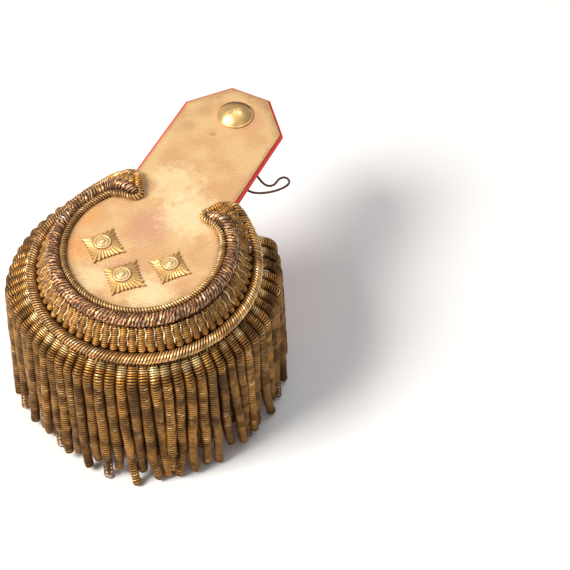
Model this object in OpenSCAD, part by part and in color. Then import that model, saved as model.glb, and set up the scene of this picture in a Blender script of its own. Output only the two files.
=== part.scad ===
/* [Board] */
// Width of the strap over its cloth edge
strap_w = 62; // [50:1:72]
// Width of the strap's short end
strap_end_w = 24.4; // [16:0.2:40]
// Distance from the middle of the field to the strap's end
strap_reach = 128; // [110:1:150]
// Length of the strap's two slanting corners, along the strap
corner_len = 21.6; // [12:0.2:30]
// Thickness of the red cloth-covered board
board_t = 2.2; // [1.5:0.1:3]
// Thickness of the gold lace on top of it
lace_t = 1; // [1:0.1:1.5]
// Thickness of the lining under the board
lining_t = 0.4; // [0.2:0.1:0.6]
// Width of the red cloth that shows round the lace
cloth_margin = 1; // [0.6:0.1:2]
// Radius of the round field that the rolls surround
field_r = 40.9; // [38:0.1:44]
// Height of the lace above the surface that the epaulette stands on
board_h = 111; // [90:1:125]

/* [Crescent] */
// Diameter of the fine gimp cord at the field
inner_cord_d = 3.2; // [2.5:0.1:3.2]
// Diameter of the tarnished roll
roll_d = 7.3; // [6:0.1:7.3]
// Diameter of the coarse gimp cord at the outer edge
outer_cord_d = 6.1; // [5:0.1:6.2]
// Number of padded bars on the crescent's round part
bar_count = 50; // [45:1:54]
// Diameter of one padded bar
bar_d = 4.1; // [3:0.1:4.2]

/* [Fringe] */
// Number of strands in the outer row
outer_strands = 52; // [42:1:53]
// Number of strands in the inner row
inner_strands = 46; // [36:1:48]
// Diameter of one strand
strand_d = 5.3; // [4:0.1:5.4]
// Largest difference in length between two strands
ragged = 8; // [0:1:12]
// Slant of the outer strands away from upright
flare_a = 4.5; // [0:0.5:6]

/* [Button and stars] */
// Diameter of the domed button
button_d = 20.6; // [16:0.1:22]
// Distance from the middle of the field to the button
button_y = 108; // [100:1:112]
// Diameter of the button's post
post_d = 3; // [2:0.1:4]
// Length of the post below the board
post_len = 6; // [3:0.5:10]
// Width of the widest star from tip to tip
star_w = 26.6; // [20:0.2:27]

/* [Hidden] */
$fn = 48;
gap = 0.1;
cloth_top = -lace_t;
cloth_bottom = cloth_top - board_t;
lining_bottom = cloth_bottom - lining_t;
lining_r = 37;
lining_margin = 3.5;
shank_d = post_d + 1.4;

// A roll of the crescent is a route of rows: place from the middle of the field, and the roll's radius
X = 0;
Y = 1;
Z = 2;
R = 3;
function at(a, r, z, rho) = [r * sin(a), -r * cos(a), z, rho];
function place_of(row) = [row[X], row[Y], row[Z]];

// The round part is the same up to this angle from the front, and the ends lie on the strap
round_a = 126;
step_a = 6;
disc_r = 44;
inner_cord_r = field_r + gap + inner_cord_d / 2;
inner_cord_z = cloth_top + inner_cord_d / 2 + gap / 2;
roll_r = disc_r + 0.2 + roll_d / 2;
roll_z = -0.6;
outer_cord_r = 61.2;
outer_cord_z = -16.3;
outer_cord_rise = [[0, 0], [106, 0], [116, 1], [126, 3.7]];
inner_cord_rise = [[0, 0], [112, 0], [126, 0.7]];
function inner_cord_at(a) =
    at(a, inner_cord_r, inner_cord_z + lookup(abs(a), inner_cord_rise), inner_cord_d / 2);
function roll_at(a) = at(a, roll_r, roll_z + max(0, abs(a) - 116) * 0.06, roll_d / 2);
function outer_cord_at(a) =
    at(a, outer_cord_r, outer_cord_z + lookup(abs(a), outer_cord_rise), outer_cord_d / 2);

// The right end of each roll: the inner cord hooks round the end of the dark roll
inner_cord_end = [
    [30.8, 27.8, 1.7, 1.6], [27.4, 29.6, 1.75, 1.6], [23.8, 30.0, 1.75, 1.6], [20.6, 30.8, 1.75, 1.6],
    [18.8, 33.0, 1.75, 1.6], [19.1, 35.6, 1.75, 1.6], [21.2, 37.3, 1.75, 1.5],
];
roll_end = [
    [36.7, 30.4, 0.5, 3.5], [34.4, 32.4, 1.7, 3.3], [31.8, 33.8, 3.1, 3.0],
    [29.2, 34.5, 3.1, 2.9], [26.7, 34.6, 2.9, 2.7], [24.7, 34.2, 2.6, 2.4], [22.8, 34.1, 2.3, 1.7],
];
outer_cord_end = [
    [45.8, 39.8, -10, 3.05], [42.6, 42.4, -7.4, 3.05], [39.0, 44.4, -4.0, 3.0],
    [35.6, 45.6, -0.5, 2.9], [32.2, 45.8, 3.1, 2.8], [28.8, 44.9, 3.0, 2.7],
    [26.2, 43.2, 2.9, 2.6], [24.9, 40.9, 2.8, 2.5],
];

// How far each row of the left end lies nearer to the field than the right end's
inner_cord_shift = [2.2, 2.8, 3.0, 2.8, 2.6, 2.8, 2.4];
roll_shift = [0.3, 0.8, 1.8, 2.5, 2.6, 2.4, 2.3];
outer_cord_shift = [0, 0, 1.7, 3.5, 4.2, 2.6, 1.2, 0.5];
core_shift = [0, 0.3, 1.3, 2.5, 3.3, 2.6, 2.0];
function nearer(rows, shift) = [for (i = [0 : len(rows) - 1]) rows[i] - [0, shift[i], 0, 0]];

// Each bar at an end joins the same rows of the roll and of the outer cord
bar_gap_roll = 0.2;
bar_gap_cord = 1.55;
bar_sink_roll = 1;
bar_sink_cord = 2.3;
end_sink = [0.9, 0.5, 0.1, -0.35, -0.2, 0];
core_end = [
    [44.6, 32.6, -7.8, 3.4], [41.4, 35.4, -5.6, 3.2], [38.6, 37.6, -3.4, 3.0], [35.6, 39.0, -0.8, 2.6],
    [32.4, 39.8, 2.2, 2.0], [29.4, 40.0, 2.3, 2.0], [27.0, 39.4, 2.3, 2.0],
];

// A strand leaves the head at a slope, turns down, and ends in a rounded tip
strand_drop_from = [-0.7, -6.7];
strand_slope = 35;
strand_straight = 10.4;
strand_a = 263;
bend_from_cord = strand_drop_from + strand_straight * [cos(strand_slope), -sin(strand_slope)];
// How much further out the strands bend at these angles from the front: they spread most on the left
strand_outward = [
    [-131.5, 3], [-105, 5.5], [-85, 7], [-64, 6.8], [-52, 4], [-40, 1.6], [-25, 0],
    [60, 0], [95, 1.4], [131.5, 1.8],
];
function tip_low(lean) = -board_h + strand_d / 2 * sin(lean);
inner_row_r = 59.8;
inner_row_top = -26;
inner_row_a = 252;
inner_flare_a = 5.5;
head_low = -27.4;

// The front of the fringe and the strap's end are the same distance from the origin
bend_r = outer_cord_r + bend_from_cord[0];
bend_z = outer_cord_z + bend_from_cord[1];
fringe_reach = bend_r + (bend_z - tip_low(flare_a)) * tan(flare_a) + strand_d / 2;
field_y = (fringe_reach - strap_reach) / 2;

// The fringe spreads further on its left, so the board stands this far to the right of the origin
field_x = 2.3;

// Stars: place of each one's middle from the middle of the field, its turn, and its share of the full width
STAR_X = 0;
STAR_Y = 1;
STAR_TURN = 2;
STAR_SIZE = 3;
stars = [
    [-19.4, -8.5, 6, 0.98],
    [1.2, -22.3, 0, 1],
    [19.9, -5.8, 6, 0.9],
];
star_boss_r = 3.9;
star_rise = 2.5;
star_rim = 0.6;

// The tie's middle line, from under the strap, out beside it and back
tie_d = 1.4;
tie_route = [
    [24, 80, -3.2], [24, 80, -4.4], [24.5, 79.8, -5.9], [26.5, 79.3, -7], [29.3, 78.1, -8], [32, 76.9, -9],
    [34.7, 76.4, -10], [36.9, 77.4, -11], [38.3, 80, -12], [38.5, 83, -12.6], [38.7, 86, -13],
    [40.5, 88.4, -13.2], [43.2, 88.3, -13.4], [44.8, 86, -13.4], [44.2, 82.6, -13.2], [42.4, 79, -12.8],
    [40, 75.6, -12.2], [37.2, 72.4, -11.4], [34.2, 69.6, -10.4], [31.2, 67.6, -9.2], [28.2, 66.8, -7.8],
    [25.6, 66.9, -6.2], [24.2, 67.1, -4.8], [24, 67.2, -3.2],
];

function hash(i, k) = let (v = sin(i * 727.1 + k * 311.7) * 43758.5) v - floor(v);
function shorter(i, row) = ragged * pow(hash(i, row), 1.5) * (i % 5 == 2 ? 0 : 1);
function spread(i, count, sweep) = sweep * ((i + 0.5) / count - 0.5);
function unit(v) = v / norm(v);

module place() {
    translate([field_x, field_y, board_h]) children();
}

// A profile carried round the crescent's arc, to this angle from the front on each side
module around(a) {
    rotate([0, 0, 270 - a])
        rotate_extrude(angle = 2 * a, $fn = 96)
            children();
}

// Turned so that +X points away from the field at this angle from the front
module at_angle(a) {
    rotate([0, 0, a - 90]) children();
}

// A round rod between two places, with a round end
module rod(from, to, d) {
    v = to - from;
    translate(from)
        rotate([0, acos(v[Z] / norm(v)), atan2(v[Y], v[X])]) {
            cylinder(h = norm(v), d = d);
            translate([0, 0, norm(v)]) sphere(d = d);
        }
}

// A strip of eight sides between two places
module strip(from, to, d) {
    v = to - from;
    translate(from)
        rotate([0, acos(v[Z] / norm(v)), atan2(v[Y], v[X])])
            rotate([0, 0, 22.5])
                cylinder(h = norm(v), d = d, $fn = 8);
}

function other_side(rows) =
    [for (i = [len(rows) - 1 : -1 : 0]) [-rows[i][X], rows[i][Y], rows[i][Z], rows[i][R]]];

// A route that passes through its rows as a smooth curve, with this many steps between two rows
function eased(a, b, c, d, t) = 0.5 * (2 * b + (c - a) * t + (2 * a - 5 * b + 4 * c - d) * t * t
    + (3 * b - a - 3 * c + d) * t * t * t);
function smooth(rows, steps) = let (n = len(rows)) [
    for (i = [0 : n - 2], k = [0 : steps - 1])
        eased(rows[max(i - 1, 0)], rows[i], rows[i + 1], rows[min(i + 2, n - 1)], k / steps),
    rows[n - 1],
];

// The round part comes from a formula, and its two ends from a table
function crescent_route(ends, left_ends, middle) = concat(
    other_side(smooth(concat([middle[len(middle) - 1]], left_ends), 2)),
    [for (i = [1 : len(middle) - 2]) middle[i]],
    smooth(concat([middle[len(middle) - 1]], ends), 2)
);

// Rows that round off both ends of a route
function rounded(rows) = let (
    n = len(rows),
    first = rows[0],
    last = rows[n - 1],
    back = unit(place_of(rows[0]) - place_of(rows[1])),
    ahead = unit(place_of(rows[n - 1]) - place_of(rows[n - 2])),
    steps = [[0.94, 0.34], [0.6, 0.8]]
) concat(
    [for (s = steps) concat(place_of(first) + back * s[0] * first[R], [first[R] * s[1]])],
    rows,
    [for (s = [steps[1], steps[0]]) concat(place_of(last) + ahead * s[0] * last[R], [last[R] * s[1]])]
);

// A round tube along a route, whose section is carried along without a twist
module tube(rows, sides) {
    n = len(rows);
    p = [for (r = rows) place_of(r)];
    ahead = [for (i = [0 : n - 1]) unit(p[min(i + 1, n - 1)] - p[max(i - 1, 0)])];
    start = unit(cross(ahead[0], abs(ahead[0][Z]) < 0.7 ? [0, 0, 1] : [0, 1, 0]));
    across = [
        for (i = 0, u = start; i < n; i = i + 1, u = i < n ? unit(u - (u * ahead[i]) * ahead[i]) : u) u
    ];
    points = [
        for (i = [0 : n - 1], k = [0 : sides - 1])
            let (v = cross(ahead[i], across[i]), a = 360 * k / sides)
            p[i] + rows[i][R] * (across[i] * cos(a) + v * sin(a))
    ];
    faces = concat(
        [[for (k = [0 : sides - 1]) k]],
        [[for (k = [sides - 1 : -1 : 0]) (n - 1) * sides + k]],
        [
            for (i = [0 : n - 2], k = [0 : sides - 1])
                let (m = (k + 1) % sides)
                each [
                    [i * sides + k, (i + 1) * sides + k, (i + 1) * sides + m],
                    [i * sides + k, (i + 1) * sides + m, i * sides + m],
                ]
        ]
    );
    polyhedron(points, faces, convexity = 8);
}

// The board's outline, smaller all round by the margin given
module strap_outline(m) {
    w = strap_w / 2 - m;
    e = strap_end_w / 2 - m * 0.5;
    polygon([
        [-w, 0], [w, 0], [w, strap_reach - corner_len - m * 0.4],
        [e, strap_reach - m], [-e, strap_reach - m], [-w, strap_reach - corner_len - m * 0.4],
    ]);
}

module board_form(h, r, m) {
    cylinder(h = h, r = r);
    linear_extrude(h) strap_outline(m);
}

module post_hole() {
    translate([0, button_y, lining_bottom - 1]) cylinder(h = 1 - lining_bottom + 1, d = shank_d + 2 * gap);
}

module underlay() {
    ends = [tie_route[0], tie_route[len(tie_route) - 1]];
    color("crimson") place()
        difference() {
            union() {
                translate([0, 0, cloth_bottom]) board_form(board_t, disc_r, 0);
                translate([0, 0, lining_bottom]) board_form(lining_t + board_t / 2, lining_r, lining_margin);
            }
            post_hole();
            for (e = ends)
                translate([e[X], e[Y], lining_bottom - 1]) cylinder(h = lining_t + 1, r = tie_d / 2 + 1.6);
        }
}

module lace() {
    color("wheat") place()
        difference() {
            translate([0, 0, cloth_top + gap / 2]) board_form(lace_t - gap / 2, field_r, cloth_margin);
            post_hole();
        }
}

module button() {
    dome_h = 4.6;
    rim_t = 0.9;
    dome_r = button_d / 2 - 0.6;
    ball_r = (dome_r * dome_r + dome_h * dome_h) / (2 * dome_h);
    color("gold") place()
        translate([0, button_y, gap]) {
            cylinder(h = rim_t, d = button_d);
            intersection() {
                translate([0, 0, rim_t + dome_h - ball_r]) sphere(r = ball_r);
                cylinder(h = rim_t + dome_h, r = dome_r);
            }
            translate([0, 0, lining_bottom - gap])
                cylinder(h = gap - lining_bottom + rim_t / 2, d = shank_d);
            translate([0, 0, lining_bottom - gap - post_len])
                cylinder(h = post_len, d = post_d);
        }
}

// The star's outline: four long tips with six short rays between each two
function star_points() = [
    for (q = [0 : 3], k = [0 : 13])
        let (
            a = q * 90 + k * 90 / 14,
            u = abs(k - 7) / 7,
            side = star_w * (0.33 + 0.17 * pow(u, 2.6)),
            r = k % 2 == 0 ? side : side * 0.9
        )
        r * [cos(a), sin(a)]
];

module star_body() {
    rim = star_points();
    n = len(rim);
    top_r = star_boss_r * 0.96;
    points = concat(
        [for (p = rim) [p[0], p[1], 0]],
        [for (p = rim) [p[0], p[1], star_rim]],
        [for (i = [0 : n - 1]) let (p = unit(rim[i]) * top_r) [p[0], p[1], star_rise - (i % 2) * 0.3]],
        [[0, 0, 0], [0, 0, star_rise]]
    );
    faces = [
        for (i = [0 : n - 1])
            let (j = (i + 1) % n)
            each [
                [2 * n + n, i, j],
                [i, n + i, n + j], [i, n + j, j],
                [n + i, 2 * n + i, 2 * n + j], [n + i, 2 * n + j, n + j],
                [2 * n + i, 3 * n + 1, 2 * n + j],
            ]
    ];
    polyhedron(points, faces, convexity = 6);
}

module star(s) {
    color("goldenrod") place()
        translate([s[STAR_X], s[STAR_Y], gap])
            rotate([0, 0, s[STAR_TURN]])
                scale(s[STAR_SIZE]) {
                    star_body();
                    cylinder(h = star_rise + 0.7, r = star_boss_r);
                    intersection() {
                        translate([0, 0, star_rise - 1]) sphere(r = 2.6);
                        cylinder(h = star_rise + 2, r = 3);
                    }
                }
}

module star_1() { star(stars[0]); }
module star_2() { star(stars[1]); }
module star_3() { star(stars[2]); }

round_angles = [-round_a : step_a : round_a];

module inner_cord() {
    color("goldenrod") place()
        tube(rounded(crescent_route(inner_cord_end, nearer(inner_cord_end, inner_cord_shift),
            [for (a = round_angles) inner_cord_at(a)])), 8);
}

module dark_roll() {
    color("rosybrown") place()
        tube(rounded(crescent_route(roll_end, nearer(roll_end, roll_shift),
            [for (a = round_angles) roll_at(a)])), 12);
}

module outer_cord() {
    color("tan") place()
        tube(rounded(crescent_route(outer_cord_end, nearer(outer_cord_end, outer_cord_shift),
            [for (a = round_angles) outer_cord_at(a)])), 10);
}

// A bar lies between the roll and the outer cord, sunk a little below the line that joins them
module bar(roll_row, cord_row, sink_roll, sink_cord) {
    along = unit(place_of(cord_row) - place_of(roll_row));
    side = unit(cross([0, 0, 1], along));
    below = cross(side, along) * -1;
    down = below[Z] < 0 ? below : -below;
    from = place_of(roll_row) + along * (roll_row[R] + bar_gap_roll) + down * sink_roll;
    to = place_of(cord_row) - along * (cord_row[R] + bar_gap_cord) + down * sink_cord;
    rod(from, to, bar_d, $fn = 24);
}

module bar_band() {
    color("darkgoldenrod") place() {
        around(round_a + 5)
            polygon([
                [38, cloth_bottom - gap], [43.2, cloth_bottom - gap], [46.2, -4.9], [49.4, -4.7],
                [56.4, -14.6], [57.2, -18.2], [55.4, -19.6], [50.4, -12.4], [45, -8], [38, -6.6],
            ]);
        for (i = [0 : bar_count - 1])
            let (a = spread(i, bar_count, 2 * round_a))
            bar(roll_at(a), outer_cord_at(a), bar_sink_roll, bar_sink_cord);
    }
}

// The short bars that close one end of the crescent, on a core of their own
module end_bars(core, rolls, cords) {
    tube(core, 8);
    for (i = [0 : len(end_sink) - 1])
        bar(rolls[i], cords[i], end_sink[i], end_sink[i] * 1.5);
}

module end_bars_right() {
    color("darkgoldenrod") place() end_bars(core_end, roll_end, outer_cord_end);
}

module end_bars_left() {
    color("darkgoldenrod") place()
        mirror([1, 0, 0])
            end_bars(
                nearer(core_end, core_shift),
                nearer(roll_end, roll_shift),
                nearer(outer_cord_end, outer_cord_shift)
            );
}

// The outer cord's height above its place at the front, also on its way up to the strap
cord_lift = [[0, 0], [106, 0], [116, 1], [126, 3.7], [131.5, 6.3]];

// A strand is a strip that bends once, over the head, and hangs to its own length
module strand(i) {
    a = spread(i, outer_strands, strand_a);
    out = lookup(a, strand_outward);
    lean = flare_a - out * 0.1;
    top = outer_cord_z + lookup(abs(a), cord_lift);
    from = [outer_cord_r + strand_drop_from[0], 0, top + strand_drop_from[1]];
    bend = from + (strand_straight + out / cos(strand_slope)) * [cos(strand_slope), 0, -sin(strand_slope)];
    drop = (bend[Z] - tip_low(lean)) / cos(lean) - shorter(i, 1);
    tip = bend + drop * [sin(lean), 0, -cos(lean)];
    at_angle(a) {
        strip(from, bend, strand_d);
        strip(bend, tip, strand_d);
        if (top > outer_cord_z + 0.01)
            translate([from[X], 0, head_low])
                cylinder(h = from[Z] - head_low, d = strand_d - 0.7, $fn = 8);
    }
}

module inner_strand(i) {
    a = spread(i, inner_strands, inner_row_a);
    from = [inner_row_r, 0, inner_row_top];
    drop = (inner_row_top - tip_low(inner_flare_a)) / cos(inner_flare_a) - 2 - shorter(i, 2);
    tip = from + drop * [sin(inner_flare_a), 0, -cos(inner_flare_a)];
    at_angle(a) strip(from, tip, strand_d);
}

module fringe() {
    color("peru") place() {
        around(strand_a / 2)
            polygon([
                [56.4, -20.4], [61, -20.1], [63.4, -21.8], [63.4, -26], [62.4, -28], [57.4, -28],
            ]);
        for (i = [0 : outer_strands - 1]) strand(i);
        for (i = [0 : inner_strands - 1]) inner_strand(i);
    }
}

module tie_loop() {
    color("saddlebrown") place() tube([for (p = tie_route) concat(p, [tie_d / 2])], 8);
}

underlay();
lace();
button();
star_1();
star_2();
star_3();
inner_cord();
dark_roll();
bar_band();
end_bars_left();
end_bars_right();
outer_cord();
fringe();
tie_loop();
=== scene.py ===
"""One dress epaulette of metal thread: a laced strap and field, stars, wound rolls and a bullion fringe."""

import math

import bpy
import numpy as np
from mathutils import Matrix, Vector


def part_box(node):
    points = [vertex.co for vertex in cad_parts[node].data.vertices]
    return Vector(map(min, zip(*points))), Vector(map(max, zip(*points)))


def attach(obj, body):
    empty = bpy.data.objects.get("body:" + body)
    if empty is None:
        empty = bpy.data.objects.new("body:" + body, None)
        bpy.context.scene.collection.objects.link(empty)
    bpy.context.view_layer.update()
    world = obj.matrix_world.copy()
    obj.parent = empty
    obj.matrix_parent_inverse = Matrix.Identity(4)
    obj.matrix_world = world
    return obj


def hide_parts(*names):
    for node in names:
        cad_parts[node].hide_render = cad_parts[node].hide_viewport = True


bl_info = {
    "name": "Dress epaulette",
    "version": (1, 0, 0),
    "blender": (4, 5, 0),
    "location": "View3D > Sidebar > Epaulette",
    "description": "Builds an epaulette with a bullion fringe on its packed frame",
    "category": "Object",
}

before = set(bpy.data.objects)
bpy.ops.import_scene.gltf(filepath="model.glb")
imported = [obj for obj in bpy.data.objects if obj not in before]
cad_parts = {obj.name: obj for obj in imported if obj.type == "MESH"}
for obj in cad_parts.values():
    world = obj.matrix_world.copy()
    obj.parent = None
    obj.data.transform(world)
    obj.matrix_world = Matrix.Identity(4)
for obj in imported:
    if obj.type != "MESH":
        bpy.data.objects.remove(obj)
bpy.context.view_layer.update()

# Lengths on the board are in millimetres, from the middle of the field, with the lace's top at height 0
MM = 0.001
STRAP_REACH, STRAP_HALF, STRAP_END_HALF, CORNER_LEN = 128.0, 31.0, 12.2, 21.6
CLOTH_LOW, CLOTH_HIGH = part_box("underlay")
BOARD_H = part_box("lace")[1][2] / MM
FIELD_X = (CLOTH_LOW[0] + CLOTH_HIGH[0]) / 2 / MM
FIELD_Y = CLOTH_HIGH[1] / MM - STRAP_REACH
FIELD_R, DISC_R, LINING_R = 40.9, 44.0, 37.0
LACE_T, CLOTH_T, LINING_T = 1.0, 2.2, 0.4
CLOTH_MARGIN, LINING_MARGIN = 1.35, 3.5
# Where on its middle line the board's mesh has its hub
HUB_Y = 34.0

# Rolls: radius and height of the middle line, radius of the roll, and its rise by the angle from the front
ROUND_A = 126.0
OUTER_R, OUTER_Z = 61.2, -16.3
OUTER_RISE = ((0, 0), (106, 0), (116, 1), (126, 3.7))
INNER_ROW = (42.6, 0.65, 1.6, ((0, 0), (112, 0), (126, 0.7)))
ROLL_ROW = (47.85, -0.6, 3.65, ((0, 0), (116, 0), (126, 0.6)))
OUTER_ROW = (OUTER_R, OUTER_Z, 3.05, OUTER_RISE)
# A dark tube under the bars' outer ends that is painted shade in the gaps
SHADE_TUBE_ROW = (OUTER_R - 2.3, OUTER_Z - 0.9, 1.7, OUTER_RISE)
COARSE_LEAN, ROLL_LEAN = 5.0, 4.0

# Right end of each roll, x, y, z and radius, and how far each row of the left end lies nearer to the field
INNER_END = (
    (30.8, 27.8, 1.7, 1.6), (27.4, 29.6, 1.75, 1.6), (23.8, 30.0, 1.75, 1.6), (20.6, 30.8, 1.75, 1.6),
    (18.8, 33.0, 1.75, 1.6), (19.1, 35.6, 1.75, 1.6), (21.2, 37.3, 1.75, 1.5),
)
INNER_SHIFT = (2.2, 2.8, 3.0, 2.8, 2.6, 2.8, 2.4)
ROLL_END = (
    (36.7, 30.4, 0.5, 3.5), (34.4, 32.4, 1.7, 3.3), (31.8, 33.8, 3.1, 3.0), (29.2, 34.5, 3.1, 2.95),
    (26.7, 34.6, 2.9, 2.9), (24.7, 34.3, 2.6, 2.8), (22.6, 34.2, 2.4, 2.6), (20.8, 34.2, 2.2, 2.0),
)
ROLL_SHIFT = (0.3, 0.8, 1.8, 2.5, 2.6, 2.4, 2.3, 2.3)
OUTER_END = (
    (45.8, 39.8, -10.2, 2.8), (42.6, 42.4, -7.9, 2.6), (39.0, 44.4, -4.8, 2.5), (35.6, 45.6, -1.4, 2.4),
    (32.2, 45.8, 2.2, 2.3), (28.8, 44.9, 2.5, 2.3), (26.2, 43.2, 2.5, 2.3), (24.9, 40.9, 2.5, 2.2),
)
OUTER_SHIFT = (0, 0, 1.7, 3.5, 4.2, 2.6, 1.2, 0.5)
# The same for the core under the short bars, dark as painted shade in their gaps, the cap at the tip, and a
# dark tube between inner cord and roll that is painted shade
CORE_END = (
    (43.6, 32.0, -8.2, 2.6), (40.6, 34.8, -6.4, 2.5), (37.8, 37.0, -4.4, 2.4), (35.2, 38.6, -1.9, 2.1),
    (32.4, 39.6, 1.4, 1.4), (29.4, 40.0, 1.5, 1.4), (27.0, 39.4, 1.5, 1.4),
)
CORE_SHIFT = (0, 0.3, 1.3, 2.5, 3.3, 2.6, 2.0)
CAP_END = ((20.4, 36.0, 2.2, 1.7), (22.4, 38.4, 2.9, 2.1), (24.4, 41.2, 3.0, 2.2), (26.2, 43.8, 2.4, 1.9))
CAP_SHIFT = (2.5, 2.5, 2.4, 2.2)
SHADE_TUBE_END = (
    (37.6, 24.8, -0.6, 1.6), (34.8, 28.6, -0.2, 1.7), (31.6, 31.2, 0.6, 1.6), (28.2, 32.2, 1.2, 1.4),
    (25.2, 32.2, 1.3, 1.2),
)
SHADE_TUBE_SHIFT = (0.6, 1.2, 2.2, 2.7, 2.6)

# Padded bars: gaps to both rolls, how far their ends sink below them, and the section of their base
BAR_COUNT = 50
BAR_GAP_ROLL, BAR_GAP_CORD = 0.2, 1.55
BAR_SINK_ROLL, BAR_SINK_CORD = 1.0, 2.3
END_SINK = (0.9, 0.6, 0.1, -0.2, -0.6, -0.5, -0.4)
# How much of the way to an end's first rows the first short bar lies
FIRST_ROLL, FIRST_CORD = 0.16, 0.25
BAR_PITCH, PURL_PITCH, PURL_REACH = 1.15, 0.9, 7.0
PAD = (
    (38, -3.3), (43.2, -3.3), (46.2, -4.9), (49.4, -4.7), (56.4, -14.6),
    (57.2, -18.2), (55.4, -19.6), (50.4, -12.4), (45, -8), (38, -6.6),
)

# Fringe: how many strands, over what angle, how they leave the head, lean and end, and the head's section
OUTER_STRANDS, INNER_STRANDS = 52, 46
STRAND_D = 5.3
STRAND_A, INNER_ROW_A = 263.0, 252.0
STRAND_FROM = (-0.7, -6.0)
STRAND_SLOPE, STRAND_STRAIGHT, TURN_R = 35.0, 10.4, 8.0
FLARE_A, INNER_FLARE_A = 4.5, 5.5
INNER_ROW_R, INNER_ROW_TOP, INNER_RAISE = 59.8, -26.0, 9
RAGGED, FLOOR_GAP = 8.0, 0.25
HEAD = ((56.4, -20.4), (61, -20.1), (63.4, -21.8), (63.4, -26), (62.4, -28), (57.4, -28))
# By the angle from the front: the lift of the strands' tops, and how far they bulge outwards
CORD_LIFT = (*OUTER_RISE, (131.5, 6.3), (137, 7.6))
OUTWARD = (
    (-131.5, 3), (-105, 5.5), (-85, 7), (-64, 6.8), (-52, 4), (-40, 1.6), (-25, 0),
    (60, 0), (95, 1.4), (110, 2.4), (137, 3.2),
)
# Millimetres from a strand's top over which its coils are bright and then fade, and keep their pitch and
# then change it
BRIGHT_TOP, FADE_TOP, EVEN_TOP, EASE_TOP = 9.0, 4.5, 9.0, 9.0
# Millimetres of a strand's end that are rough, and that are darker
ROUGH_END, DARK_END = 4.0, 18.0
# Depth of a strand's turns and of its lumps, and how far its radius may differ from another's
TURN_DEPTH, LUMP_DEPTH, PLUMPER = 0.25, 0.36, 0.3
# How far further round the right strands reach, how much straighter they hang, how far the strands hang out
# and in by turns, and how much thinner they get below
RIGHT_REACH, RIGHT_STRAIGHTER, HANG_OUT, HANG_IN, THINNER = 5.0, 2.5, 1.4, -1.0, 0.1
# Strands whose wire has come undone at the tip, how far up, and the pitch and radius of that wire
UNDONE = (11, 17, 22, 27, 33, 40, 45)
LOOSE_WIRE, LOOSE_PITCH, LOOSE_R = 13.0, 3.0, 0.4
# Strands whose tips are kicked: sideways and outwards
KICKS = {
    12: (-2.0, 1.5), 16: (1.8, 1.0), 18: (-1.5, 1.5), 21: (-2.2, -2.0), 25: (1.2, 1.8), 29: (3.2, 3.6),
    34: (-2.6, 2.2), 38: (2.6, 0.0), 43: (2.0, 1.0),
}

# Button: its place, its dome, and the direction of its painted dark reflection in degrees from across the
# strap
BUTTON_Y, DOME_R, DOME_H, BUTTON_DARK_REFLECTION_A = 108.0, 9.7, 4.6, 110.0
BUTTON_BACK = (
    (0.3, -9.6), (1.3, -9.6), (1.5, -9.4), (1.5, -3.6), (2.15, -3.55), (2.2, -3.45), (2.2, 0.1), (9.6, 0.1),
    (10.1, 0.15), (10.3, 0.4), (10.3, 0.6), (10.1, 0.9), (9.85, 1.0),
)
# Its ornament's rays, and the reach of these and of the wreath as shares of the dome's radius
EMBLEM_RAYS, EMBLEM_R, WREATH_R = 8, 0.6, 0.8
# Stars: x, y, turn, size and the boss's shift; and the boss's radii, heights and shades, the shades being
# painted shade in the boss's grooves and painted highlights on its crests
STAR_W, STAR_RAYS, BOSS_R = 26.6, 28, 4.9
STARS = (
    (-19.4, -8.5, 6.0, 0.98, (-0.7, 0.7)), (1.2, -22.3, 0.0, 1.0, (-1.0, -0.1)),
    (19.9, -5.8, 6.0, 0.9, (-0.6, 1.2)),
)
BOSS = (
    (4.95, 2.3, 0.1), (4.9, 2.95, 0.6), (4.7, 3.2, 1), (4.4, 3.3, 1), (4.1, 3.3, 1), (3.8, 3.2, 0.8),
    (3.6, 3.05, 0.35), (3.4, 3.05, 0.35), (3.15, 3.2, 0.8), (2.8, 3.4, 1), (2.4, 3.5, 1), (2.1, 3.45, 0.8),
    (1.9, 3.3, 0.3), (1.75, 3.35, 0.5), (1.45, 3.65, 0.9), (1.0, 3.95, 1), (0.5, 4.1, 1), (0.1, 4.15, 1),
)

# Lace: pitch of the ribs and of the threads across them, the ribs' turn from across the strap in degrees,
# and stains and painted reflections of the red cloth, of x, y, reach, strength and colour
RIB_PITCH, CROSS_PITCH, RIB_TURN = 1.3, 0.6, 15.0
SPOTS_OF_STAIN_AND_REFLECTION = (
    (-4.2, 15.4, 19, 0.95, "pink"), (-1.0, -17.5, 14, 0.9, "pink"), (9.0, 108.5, 11, 0.7, "pink"),
    (-35.0, -16.0, 15, 0.7, "cloth_reflection"), (-38.0, 6.0, 13, 0.6, "cloth_reflection"), (18.9, -26.2, 18, 0.7, "cream"),
    (-14.0, -30.0, 14, 0.6, "cream"), (11.8, 31.1, 22, 0.8, "cream"), (-6.0, 48.0, 20, 0.6, "cream"),
    (-17.5, 104.2, 8, 0.2, "grime_and_shade"), (-19.7, 90.0, 6, 0.2, "grime_and_shade"), (-18.0, 40.5, 6, 0.3, "grime_and_shade"),
    (-4.7, 89.6, 2.2, 0.4, "grime_and_shade"),
)

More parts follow.
